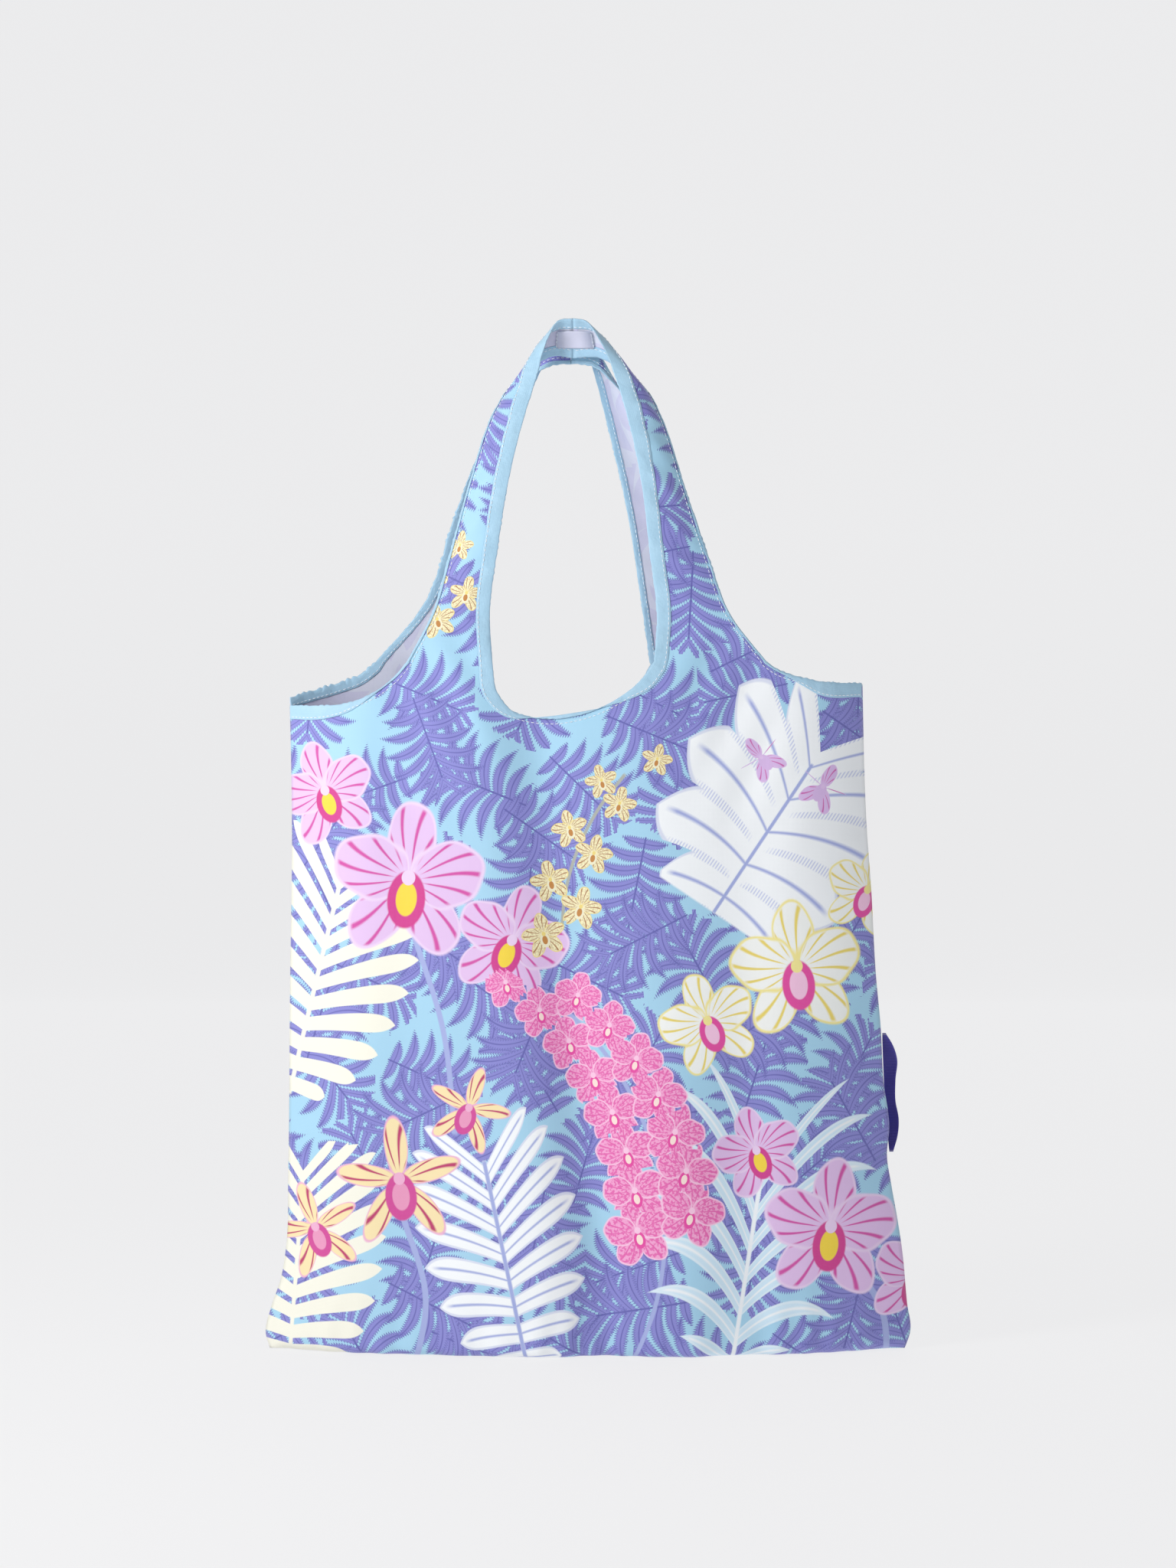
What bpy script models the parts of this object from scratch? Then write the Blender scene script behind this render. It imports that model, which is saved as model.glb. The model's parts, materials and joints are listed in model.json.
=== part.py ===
"""A foldable tote bag: two printed panels, two handle loops, bound edges, sewn seams and a closure loop.

Metres, +Z up. The bag stands on the world origin, and its front faces -Y.
"""

import math

import bmesh
import bpy
import numpy as np

# Cloth, tape and gaps
CLOTH = 0.0012  # thickness of a panel or strap
TAPE = 0.0008  # thickness of one side of the binding tape
TAPE_WIDTH = 0.009  # how far the tape reaches in from an edge
TAPE_LIP = 0.0011  # how far the folded tape stands out past an edge
GAP = 0.0003  # clearance between pieces that touch
STRAP_GAP = 0.0010  # clearance of the tape on a strap, which twists

# The bag
FOLD_HEIGHT = 0.470  # where the handle loops fold over
RIM_START = 0.400  # the rim, which the openings are cut in, starts here
SEAM_HALF = 0.0026  # a panel's distance from the middle plane at a side seam
BASE_SLIT = 0.0009  # half the slit that the bottom seam closes
BASE_CURL = 0.007  # radius of the curl between base and wall
HALF_DEPTH = [(0.0, 0.0455), (0.48, 0.0308)]
FULLNESS = [(0.0, 3.4), (0.25, 4.0), (0.48, 5.5)]  # a higher power keeps a panel flatter between its seams
LEFT_EDGE = [
    (0.0, -0.2190), (0.010, -0.2215), (0.028, -0.2180), (0.050, -0.2105),
    (0.105, -0.2060), (0.250, -0.2045), (0.480, -0.2050),
]
RIGHT_EDGE = [
    (0.0, 0.2180), (0.011, 0.2215), (0.031, 0.2190), (0.070, 0.2155), (0.110, 0.2080),
    (0.180, 0.2030), (0.254, 0.1980), (0.350, 0.1920), (0.480, 0.1880),
]

# Edges cut in the rim, as (x, z), from left to right. The straps stand between them.
FRONT_CUTS = {
    "left_shoulder": [
        (-0.230, 0.442), (-0.187, 0.440), (-0.162, 0.442), (-0.143, 0.450), (-0.129, 0.461), (-0.115, 0.485),
    ],
    "neck": [
        (-0.0655, 0.490), (-0.0640, 0.460), (-0.054, 0.439), (-0.029, 0.431),
        (-0.004, 0.434), (0.021, 0.444), (0.038, 0.460), (0.0465, 0.490),
    ],
    "right_shoulder": [(0.107, 0.487), (0.126, 0.467), (0.143, 0.459), (0.165, 0.456), (0.215, 0.456)],
}
BACK_CUTS = {
    "left_shoulder": [(-0.230, 0.447), (-0.195, 0.449), (-0.173, 0.455), (-0.156, 0.464), (-0.138, 0.488)],
    "neck": [
        (-0.0850, 0.490), (-0.0825, 0.460), (-0.066, 0.439), (-0.034, 0.431),
        (-0.004, 0.433), (0.022, 0.443), (0.038, 0.460), (0.0440, 0.490),
    ],
    "right_shoulder": [(0.096, 0.487), (0.117, 0.467), (0.140, 0.459), (0.165, 0.456), (0.215, 0.456)],
}

# Straps, as (place along the strap, x, distance from the middle plane, z) of their two edges
STRAPS = {
    "front_left_strap": (
        [(0, -0.0655, 0.0310, 0.4703), (0.2, -0.0665, 0.0290, 0.515), (0.45, -0.0590, 0.0240, 0.575),
         (0.7, -0.0450, 0.0200, 0.632), (0.87, -0.0300, 0.0180, 0.679),
         (0.95, -0.0190, 0.0175, 0.7010), (1, -0.0100, 0.0175, 0.7040)],
        [(0, -0.1210, 0.0310, 0.4703), (0.2, -0.1020, 0.0280, 0.515), (0.45, -0.0850, 0.0210, 0.580),
         (0.7, -0.0680, 0.0130, 0.637), (0.87, -0.0440, 0.0060, 0.666),
         (0.95, -0.0240, 0.0040, 0.6810), (1, -0.0100, 0.0035, 0.6840)],
    ),
    "front_right_strap": (
        [(0, 0.0455, 0.0310, 0.4703), (0.2, 0.0465, 0.0290, 0.510), (0.45, 0.0385, 0.0240, 0.575),
         (0.7, 0.0265, 0.0200, 0.635), (0.87, 0.0115, 0.0180, 0.679),
         (0.95, -0.0005, 0.0175, 0.7010), (1, -0.0095, 0.0175, 0.7040)],
        [(0, 0.1210, 0.0310, 0.4703), (0.2, 0.0940, 0.0280, 0.513), (0.45, 0.0710, 0.0210, 0.572),
         (0.7, 0.0520, 0.0130, 0.632), (0.87, 0.0260, 0.0060, 0.666),
         (0.95, 0.0045, 0.0040, 0.6810), (1, -0.0095, 0.0035, 0.6840)],
    ),
    "back_left_strap": (
        [(0, -0.0850, 0.0310, 0.4703), (0.2, -0.0800, 0.0290, 0.515), (0.45, -0.0660, 0.0240, 0.575),
         (0.7, -0.0500, 0.0200, 0.632), (0.87, -0.0325, 0.0180, 0.675),
         (0.95, -0.0210, 0.0175, 0.6960), (1, -0.0120, 0.0175, 0.6990)],
        [(0, -0.1490, 0.0310, 0.4703), (0.2, -0.1150, 0.0280, 0.513), (0.45, -0.0915, 0.0210, 0.573),
         (0.7, -0.0720, 0.0130, 0.625), (0.87, -0.0470, 0.0060, 0.661),
         (0.95, -0.0260, 0.0040, 0.6760), (1, -0.0120, 0.0035, 0.6790)],
    ),
    "back_right_strap": (
        [(0, 0.0440, 0.0310, 0.4703), (0.2, 0.0385, 0.0290, 0.515), (0.45, 0.0285, 0.0240, 0.575),
         (0.7, 0.0160, 0.0200, 0.628), (0.87, 0.0055, 0.0180, 0.674),
         (0.95, -0.0030, 0.0175, 0.6960), (1, -0.0115, 0.0175, 0.6990)],
        [(0, 0.1100, 0.0310, 0.4703), (0.2, 0.0830, 0.0280, 0.513), (0.45, 0.0610, 0.0210, 0.572),
         (0.7, 0.0430, 0.0130, 0.627), (0.87, 0.0200, 0.0060, 0.661),
         (0.95, 0.0020, 0.0040, 0.6760), (1, -0.0115, 0.0035, 0.6790)],
    ),
}
STRAP_STATIONS = 37
PATCH = (0.007, 0.017, 0.001)  # the lapped seam at a loop's top: along the strap, across it, thick
PATCH_CLEARANCE = 0.0018  # from the patch to the tape, which curves over the top

# The closure loop, a ribbon sewn into the right side seam at both ends
LOOP_BOTTOM = (0.2070, 0.135)
LOOP_TOP = (0.2022, 0.216)
LOOP_BOW = 0.0115  # how far it bows back from the seam
RIBBON_REACH = [
    (0, 0.0022), (0.12, 0.0060), (0.3, 0.0085), (0.55, 0.0082), (0.78, 0.0092), (0.9, 0.0065), (1, 0.0022),
]
RIBBON = 0.0015

PRINTED_CLOTH = ("printed_cloth", (0.45, 0.55, 0.85, 1), 0.6)
BINDING_TAPE = ("binding_tape", (0.53, 0.75, 0.88, 1), 0.55)
CLOSURE_RIBBON = ("closure_ribbon", (0.03, 0.02, 0.25, 1), 0.5)
FRONT, BACK = -1, 1  # which side of the middle plane


def smooth(knots, at):
    """Values at the given places on a smooth curve through (place, value) knots."""
    place, value = np.array(knots, float).T
    slope = np.gradient(value, place)
    i = np.clip(np.searchsorted(place, at) - 1, 0, len(place) - 2)
    step = place[i + 1] - place[i]
    t = np.clip((at - place[i]) / step, 0, 1)
    start = value[i] * (1 + 2 * t) + slope[i] * step * t
    end = value[i + 1] * (3 - 2 * t) - slope[i + 1] * step * (1 - t)
    return start * (1 - t) ** 2 + end * t * t


def clear_scene():
    for obj in list(bpy.data.objects):
        bpy.data.objects.remove(obj)


def material(finish):
    name, colour, roughness = finish
    found = bpy.data.materials.get(name) or bpy.data.materials.new(name)
    found.use_nodes = True
    shader = found.node_tree.nodes["Principled BSDF"]
    shader.inputs["Base Color"].default_value = colour
    shader.inputs["Roughness"].default_value = roughness
    return found


def make_object(name, points, faces, finish, parent=None):
    """A closed mesh with its faces turned outwards, placed in world coordinates under its parent."""
    mesh = bpy.data.meshes.new(name)
    mesh.from_pydata([tuple(p) for p in points], [], faces)
    shape = bmesh.new()
    shape.from_mesh(mesh)
    bmesh.ops.recalc_face_normals(shape, faces=shape.faces)
    if shape.calc_volume(signed=True) < 0:
        bmesh.ops.reverse_faces(shape, faces=shape.faces)
    shape.to_mesh(mesh)
    shape.free()
    mesh.shade_smooth()
    mesh.set_sharp_from_angle(angle=math.radians(40))
    mesh.materials.append(material(finish))
    obj = bpy.data.objects.new(name, mesh)
    bpy.context.scene.collection.objects.link(obj)
    if parent:
        obj.parent = parent
        obj.matrix_parent_inverse = parent.matrix_world.inverted()
    return obj


def pivot(name, location):
    """An empty on a joint's axis, which the pieces that turn about it are parented to."""
    empty = bpy.data.objects.new(name, None)
    empty.location = location
    bpy.context.scene.collection.objects.link(empty)
    bpy.context.view_layer.update()
    return empty


def closed_sweep(sections, layered=False):
    """Points and faces of a solid swept through equal closed sections, an array of (stations, corners, 3).

    A layered section runs along an outer line and back along an inner one. Its ends are closed between the two.
    """
    stations, corners, _ = sections.shape
    faces = []
    for a in range(stations - 1):
        for c in range(corners):
            d = (c + 1) % corners
            faces.append((a * corners + c, a * corners + d, (a + 1) * corners + d, (a + 1) * corners + c))
    last = (stations - 1) * corners
    for first in (0, last):
        if layered:
            back = first + corners - 1
            faces += [(first + c, first + c + 1, back - c - 1, back - c) for c in range(corners // 2 - 1)]
        else:
            faces.append(tuple(range(first, first + corners)))
    return sections.reshape(-1, 3), faces


def across():
    """Places across a panel, from -1 at the left seam to 1 at the right one, closer near the seams."""
    even = np.linspace(-1, 1, 23)
    return 0.45 * even + 0.55 * np.sin(even * math.pi / 2)


def wall_point(s, z, offset, side):
    """A panel's points at places s across and z up, moved out from its middle layer by offset."""
    left, right = smooth(LEFT_EDGE, z), smooth(RIGHT_EDGE, z)
    x = (left + right) / 2 + s * (right - left) / 2
    bulge = 1 - np.abs(s) ** smooth(FULLNESS, z)
    depth = SEAM_HALF + (smooth(HALF_DEPTH, z) - SEAM_HALF) * bulge
    return np.stack([x, side * (depth + offset), z * np.ones_like(x)], axis=-1)


def wall_section(s, heights, thickness, side):
    """One closed section of a rim shell at place s: up its outer face and down its inner one."""
    outer = wall_point(np.full(len(heights), s), heights, thickness / 2, side)
    inner = wall_point(np.full(len(heights), s), heights, -thickness / 2, side)
    return np.concatenate([outer, inner[::-1]])


def panel_section(s, side):
    """One closed section of a panel at place s: out under the base, up the wall, then back inside."""
    heights = np.array([0.011, 0.03, 0.06, 0.11, 0.18, 0.28, *RIM_HEIGHTS])
    foot = wall_point(np.array([s]), np.array([0.0]), 0, side)[0]
    reach = abs(foot[1]) + CLOTH / 2
    curl = min(BASE_CURL, 0.9 * (reach - BASE_SLIT))
    inner_curl = max(curl - CLOTH, 0.0001)
    turn = np.radians([0, 30, 60, 90])

    def under(radius, face, level):
        y = np.append(BASE_SLIT, face - radius + radius * np.sin(turn))
        z = np.append(level, level + radius - radius * np.cos(turn))
        x = smooth(LEFT_EDGE, z) * (1 - s) / 2 + smooth(RIGHT_EDGE, z) * (1 + s) / 2
        return np.stack([x, side * y, z], axis=-1)

    up = np.full(len(heights), s)
    outer = np.concatenate([under(curl, reach, 0.0), wall_point(up, heights, CLOTH / 2, side)])
    inner_wall = wall_point(up, heights, -CLOTH / 2, side)
    inner = np.concatenate([under(inner_curl, reach - CLOTH, CLOTH), inner_wall])
    return np.concatenate([outer, inner[::-1]])


RIM_HEIGHTS = np.array([RIM_START, 0.425, 0.4475, FOLD_HEIGHT])


def rim_shell(name, thickness, side):
    """A guide as thick as given, on the same surface as the panel's rim."""
    sections = [wall_section(s, RIM_HEIGHTS, thickness, side) for s in across()]
    points, faces = closed_sweep(np.stack(sections), layered=True)
    return as_guide(make_object(name, points, faces, PRINTED_CLOTH))


def as_guide(obj):
    obj.hide_render = True
    obj.display_type = "WIRE"
    return obj


def boolean(obj, other, operation):
    modifier = obj.modifiers.new(other.name, "BOOLEAN")
    modifier.operation = operation
    modifier.object = other


def edge_curve(knots, count=15):
    """Points of a smooth cut edge and, at each, the direction into the cloth."""
    knots = np.array(knots)
    run = np.append(0, np.cumsum(np.linalg.norm(np.diff(knots, axis=0), axis=1)))
    at = np.linspace(0, run[-1], count)
    points = np.stack([smooth(np.stack([run, knots[:, i]], 1), at) for i in (0, 1)], axis=1)
    along = np.gradient(points, axis=0)
    into = np.stack([along[:, 1], -along[:, 0]], axis=1)
    return points, into / np.linalg.norm(into, axis=1, keepdims=True)


def edge_prism(name, knots, low, high, side, top=None):
    """A guide along Y over the band between two offsets from a cut edge, or from the edge up to top."""
    points, into = edge_curve(knots)
    if top is None:
        outline = np.concatenate([points + into * low, (points + into * high)[::-1]])
    else:
        outline = np.concatenate([points, [(points[-1, 0], top), (points[0, 0], top)]])
    sections = [
        np.column_stack([outline[:, 0], np.full(len(outline), side * y), outline[:, 1]])
        for y in (-0.001, 0.06)
    ]
    solid, faces = closed_sweep(np.stack(sections))
    return as_guide(make_object(name, solid, faces, PRINTED_CLOTH))


def make_panel(word, cuts, side, parent):
    """A printed panel with half of the base, its rim cut out at the neck and at both shoulders."""
    points, faces = closed_sweep(np.stack([panel_section(s, side) for s in across()]), layered=True)
    panel = make_object(word + "_panel", points, faces, PRINTED_CLOTH, parent)
    for cut, knots in cuts.items():
        boolean(panel, edge_prism(f"{word}_{cut}_cut", knots, 0.0, 0.0, side, top=0.52), "DIFFERENCE")


def make_rim_bindings(word, cuts, side, parent):
    """Tape folded over each cut edge of the rim: a channel with a slot for the cloth."""
    fat = rim_shell(word + "_tape_layer", CLOTH + 2 * (GAP + TAPE), side)
    slot_layer = rim_shell(word + "_slot_layer", CLOTH + 2 * GAP, side)
    for cut, knots in cuts.items():
        tape = edge_prism(f"{word}_{cut}_binding", knots, -TAPE_LIP, TAPE_WIDTH, side)
        tape.hide_render = False
        tape.display_type = "TEXTURED"
        tape.data.materials[0] = material(BINDING_TAPE)
        tape.parent = parent
        slot = edge_prism(f"{word}_{cut}_slot", knots, -GAP, TAPE_WIDTH + 0.004, side)
        boolean(slot, slot_layer, "INTERSECT")
        boolean(tape, fat, "INTERSECT")
        boolean(tape, slot, "DIFFERENCE")


def edge_line(knots, at, side):
    """Points of a strap's edge at the given places along it."""
    knots = np.array(knots)
    x, y, z = (smooth(knots[:, [0, i]], at) for i in (1, 2, 3))
    return np.stack([x, side * y, z], axis=-1)


def strap_frame(name, at, side):
    """A strap's two edges at the given places, the direction across it and its normal."""
    first, second = (edge_line(knots, at, side) for knots in STRAPS[name])
    across_it = second - first
    across_it /= np.linalg.norm(across_it, axis=1, keepdims=True)
    along = np.gradient((first + second) / 2, axis=0)
    normal = np.cross(across_it, along)
    return first, second, across_it, normal / np.linalg.norm(normal, axis=1, keepdims=True)


def make_strap(name, frame, parent):
    """A strap's cloth, with lines along it where the tape on each edge ends, so that both bend alike."""
    first, second, across_it, normal = frame
    reach = across_it * TAPE_WIDTH
    lines = [first, first + reach, second - reach, second]
    half = normal * CLOTH / 2
    sections = [line + half for line in lines] + [line - half for line in reversed(lines)]
    points, faces = closed_sweep(np.stack(sections, axis=1), layered=True)
    make_object(name, points, faces, PRINTED_CLOTH, parent)


def channel(edge, into, normal):
    """Sections of tape folded over an edge, with a slot for the cloth."""
    outer, slot, lip = CLOTH / 2 + STRAP_GAP + TAPE, CLOTH / 2 + STRAP_GAP, STRAP_GAP + TAPE
    corners = (
        (-lip, -outer), (TAPE_WIDTH, -outer), (TAPE_WIDTH, -slot), (TAPE - lip, -slot),
        (TAPE - lip, slot), (TAPE_WIDTH, slot), (TAPE_WIDTH, outer), (-lip, outer),
    )
    return np.stack([edge + into * a + normal * b for a, b in corners], axis=1)


def make_handle(word, side, parent):
    """One loop: its two straps, the tape along their edges, and the lapped seam at its top."""
    at = np.linspace(0, 1, STRAP_STATIONS)
    names = [f"{word}_{hand}_strap" for hand in ("left", "right")]
    left, right = (strap_frame(name, at, side) for name in names)
    for name, frame in zip(names, (left, right)):
        make_strap(name, frame, parent)
    for which, edge_name in ((0, "inner"), (1, "outer")):
        turn = 1 if which == 0 else -1
        up = channel(left[which], turn * left[2], left[3])
        down = channel(right[which], turn * right[2], -right[3])
        points, faces = closed_sweep(np.concatenate([up, down[::-1]]))
        make_object(f"{word}_handle_{edge_name}_binding", points, faces, BINDING_TAPE, parent)
    make_seam_patch(word, left, right, side, parent)


def make_seam_patch(word, left, right, side, parent):
    """The lapped seam that joins a loop's two straps, a plate on the strap's reverse face."""
    along_size, across_size, thick = PATCH
    middle = (left[0][-1] + left[1][-1] + right[0][-1] + right[1][-1]) / 4
    across_it = left[2][-1]
    reverse = np.cross(across_it, (1, 0, 0))
    reverse *= -1 if reverse[1] * side < 0 else 1
    low = CLOTH / 2 + STRAP_GAP + TAPE + PATCH_CLEARANCE
    sections = []
    for x in (-along_size / 2, along_size / 2):
        corners = [
            middle + (x, 0, 0) + across_it * a * across_size / 2 + reverse * (low + b * thick)
            for a, b in ((-1, 0), (1, 0), (1, 1), (-1, 1))
        ]
        sections.append(corners)
    points, faces = closed_sweep(np.array(sections))
    make_object(f"{word}_handle_seam", points, faces, PRINTED_CLOTH, parent)


def make_side_seam(name, edge, turn, parent):
    """The two panels' seam allowances at one side, sewn together and turned inwards."""
    heights = np.array([0.013, 0.03, 0.06, 0.11, 0.18, 0.25, 0.35, 0.43])
    x = smooth(edge, heights)
    near, far, half = 0.0005, 0.0095, 0.00055
    strip_corners = [(near, -half), (near, half), (far, half), (far, -half)]
    sections = [
        [(a - turn * inwards, y, z) for inwards, y in strip_corners]
        for a, z in zip(x, heights)
    ]
    points, faces = closed_sweep(np.array(sections))
    make_object(name, points, faces, BINDING_TAPE, parent)


def make_bottom_seam(parent):
    """The seam allowances along the middle of the base, standing up inside."""
    sections = [
        [(x, -0.00055, 0.0015), (x, 0.00055, 0.0015), (x, 0.00055, 0.0095), (x, -0.00055, 0.0095)]
        for x in (-0.203, 0.203)
    ]
    points, faces = closed_sweep(np.array(sections))
    make_object("bottom_seam", points, faces, BINDING_TAPE, parent)


def make_closure_loop(parent):
    """A flat ribbon that leaves the side seam, bows out and back, and goes into the seam again."""
    at = np.linspace(0, 1, 17)
    bow = np.sin(math.pi * at)
    inner_x = LOOP_BOTTOM[0] + (LOOP_TOP[0] - LOOP_BOTTOM[0]) * at + GAP
    z = LOOP_BOTTOM[1] + (LOOP_TOP[1] - LOOP_BOTTOM[1]) * at
    y = LOOP_BOW * bow**0.75
    outer_x = inner_x + smooth(RIBBON_REACH, at)
    slope = np.gradient(np.stack([y, z], 1), axis=0)
    facing = np.stack([np.zeros_like(z), slope[:, 1], -slope[:, 0]], 1)
    facing *= RIBBON / 2 / np.linalg.norm(facing, axis=1, keepdims=True)
    first, second = np.stack([inner_x, y, z], 1), np.stack([outer_x, y, z], 1)
    corners = [first + facing, second + facing, second - facing, first - facing]
    points, faces = closed_sweep(np.stack(corners, axis=1))
    make_object("closure_loop", points, faces, CLOSURE_RIBBON, parent)


clear_scene()
body = pivot("bag_body", (0, 0, 0))
fold_reach = smooth(HALF_DEPTH, FOLD_HEIGHT) + CLOTH / 2 + STRAP_GAP + TAPE
for word, cuts, side in (("front", FRONT_CUTS, FRONT), ("back", BACK_CUTS, BACK)):
    make_panel(word, cuts, side, body)
    make_rim_bindings(word, cuts, side, body)
    make_handle(word, side, pivot(word + "_handle_fold", (0, side * fold_reach, FOLD_HEIGHT)))
make_side_seam("left_side_seam", LEFT_EDGE, -1, body)
make_side_seam("right_side_seam", RIGHT_EDGE, 1, body)
make_bottom_seam(body)
make_closure_loop(pivot("closure_loop_swing", (LOOP_BOTTOM[0], 0, LOOP_BOTTOM[1])))
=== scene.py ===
"""The looks of a foldable tote bag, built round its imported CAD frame. Metres, +Z up, the front faces -Y."""

import json
import math

import bmesh
import bpy
import numpy as np
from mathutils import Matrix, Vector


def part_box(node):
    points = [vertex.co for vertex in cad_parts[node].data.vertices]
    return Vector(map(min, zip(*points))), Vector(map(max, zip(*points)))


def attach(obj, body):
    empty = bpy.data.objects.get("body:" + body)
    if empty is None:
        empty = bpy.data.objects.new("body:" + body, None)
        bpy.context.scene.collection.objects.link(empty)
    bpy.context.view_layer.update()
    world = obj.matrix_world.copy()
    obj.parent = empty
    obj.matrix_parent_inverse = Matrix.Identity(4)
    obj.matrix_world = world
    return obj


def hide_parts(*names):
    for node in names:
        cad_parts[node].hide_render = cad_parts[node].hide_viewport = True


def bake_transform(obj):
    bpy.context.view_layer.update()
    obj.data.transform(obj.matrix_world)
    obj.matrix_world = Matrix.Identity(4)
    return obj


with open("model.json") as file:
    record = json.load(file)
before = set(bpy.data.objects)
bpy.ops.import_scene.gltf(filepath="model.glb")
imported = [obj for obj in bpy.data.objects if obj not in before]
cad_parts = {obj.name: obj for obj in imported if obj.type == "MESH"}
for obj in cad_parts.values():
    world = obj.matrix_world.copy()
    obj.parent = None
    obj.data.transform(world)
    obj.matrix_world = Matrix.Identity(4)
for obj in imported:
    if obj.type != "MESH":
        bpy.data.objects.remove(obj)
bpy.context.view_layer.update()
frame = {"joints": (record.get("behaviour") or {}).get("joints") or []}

# ---------------------------------------------------------------------------
# Camera, studio and light. A long lens looks straight at the front of the bag, which stands on a pale floor
# that curves up into a pale wall. One large soft light stands at the left and a weak one at the right.
BAG_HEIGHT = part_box("front_handle_inner_binding")[1].z
LENS_MM, SENSOR_MM = 85, 36
VIEW_HEIGHT = 1.503 * BAG_HEIGHT
CAMERA_BACK = VIEW_HEIGHT * LENS_MM / SENSOR_MM + 0.035

camera_data = bpy.data.cameras.new("camera")
camera_data.lens, camera_data.sensor_width = LENS_MM, SENSOR_MM
camera = bpy.data.objects.new("camera", camera_data)
camera.location = (0.0, -CAMERA_BACK, 0.548 * BAG_HEIGHT)
camera.rotation_euler = (math.radians(90), 0, 0)
bpy.context.scene.collection.objects.link(camera)
bpy.context.scene.camera = camera
bpy.context.scene.view_settings.view_transform = "Standard"


def new_mesh(name, points, faces, materials=(), smooth=True):
    """A mesh object at the origin from an array of points and an array or list of faces."""
    mesh = bpy.data.meshes.new(name)
    mesh.from_pydata(np.asarray(points).reshape(-1, 3), [], [tuple(map(int, face)) for face in faces])
    for material in materials:
        mesh.materials.append(material)
    if smooth:
        mesh.shade_smooth()
    obj = bpy.data.objects.new(name, mesh)
    bpy.context.scene.collection.objects.link(obj)
    return obj


def grid_faces(index, around=False):
    """The four corners of each cell of a grid of vertex numbers, its second side closed on itself if
    asked."""
    if around:
        index = np.concatenate([index, index[:, :1]], axis=1)
    return np.stack([index[:-1, :-1], index[:-1, 1:], index[1:, 1:], index[1:, :-1]], axis=-1).reshape(-1, 4)


def numbers_of(points):
    """The vertex numbers of a grid of points, as a grid."""
    return np.arange(points.shape[0] * points.shape[1]).reshape(points.shape[:2])


def run_along(line):
    """How far each point of a line is from its start, measured along it."""
    return np.append(0, np.cumsum(np.linalg.norm(np.diff(line, axis=0), axis=1)))


def plain_material(name, colour, roughness, glow=0.0):
    material = bpy.data.materials.new(name)
    material.use_nodes = True
    shader = material.node_tree.nodes["Principled BSDF"]
    shader.inputs["Base Color"].default_value = (*colour, 1)
    shader.inputs["Roughness"].default_value = roughness
    shader.inputs["Specular IOR Level"].default_value = 0.1
    shader.inputs["Emission Color"].default_value = (*colour, 1)
    shader.inputs["Emission Strength"].default_value = glow
    return material


WALL_BACK, WALL_TOP, STUDIO_SIDE, BEND = 4.0, 12.0, 30.0, 0.9
FLOOR_DROP = 0.0005  # how far the floor lies below the bag's base
turn = np.linspace(0, math.pi / 2, 17)
bend_line = zip(WALL_BACK + BEND * np.sin(turn), BEND - BEND * np.cos(turn) - FLOOR_DROP)
floor_line = [(-STUDIO_SIDE, -FLOOR_DROP), *bend_line, (WALL_BACK + BEND, WALL_TOP)]
studio_points = np.array([[(x, y, z) for y, z in floor_line] for x in (-STUDIO_SIDE, STUDIO_SIDE)])
studio_index = np.arange(2 * len(floor_line)).reshape(2, -1)
studio_paper = plain_material("studio_paper", (0.09, 0.09, 0.091), 0.9, 8.65)
studio = new_mesh("studio", studio_points, grid_faces(studio_index)[:, ::-1], [studio_paper])


def soft_light(name, place, target, size, power, colour=(1, 1, 1)):
    data = bpy.data.lights.new(name, "AREA")
    data.shape, data.size, data.energy, data.color = "DISK", size, power, colour
    light = bpy.data.objects.new(name, data)
    light.location = place
    light.rotation_euler = (Vector(target) - Vector(place)).to_track_quat("-Z", "Y").to_euler()
    bpy.context.scene.collection.objects.link(light)


soft_light("key_light", (-0.98, -0.88, 0.92), (0, 0, 0.28), 0.5, 14.5, (1, 0.99, 0.97))
soft_light("fill_light", (1.6, -2.6, 1.0), (0, 0, 0.35), 2.0, 4, (0.93, 0.96, 1))
world = bpy.data.worlds.new("studio_world")
world.use_nodes = True
sky = world.node_tree
sky.nodes["Background"].inputs["Color"].default_value = (0.97, 0.98, 1, 1)
kinds = ("TexCoord", "SeparateXYZ", "MapRange")
direction, height, fade = (sky.nodes.new("ShaderNode" + kind) for kind in kinds)
for slot, value in (("From Min", 0.05), ("From Max", 0.35), ("To Min", 0.84), ("To Max", 0.18)):
    fade.inputs[slot].default_value = value
sky.links.new(direction.outputs["Generated"], height.inputs[0])
sky.links.new(height.outputs["Z"], fade.inputs["Value"])
sky.links.new(fade.outputs["Result"], sky.nodes["Background"].inputs["Strength"])
bpy.context.scene.world = world

# ---------------------------------------------------------------------------
# The cloth: two panels of thin woven polyester, each cut in one piece with its two straps and sewn to the
# other at the sides and along the base. They are printed on the outside and pale on the reverse.
CLOTH = 0.0004
FOLD_HEIGHT = frame["joints"][0]["pos_m"][2]
FRONT, BACK = -1, 1
SEAM_HALF, BASE_SLIT = 0.0006, 0.0005  # each panel's gap to the middle plane, at the sides and below
BASE_CURL = 0.007  # the radius in which the cloth turns under at the foot
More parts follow.
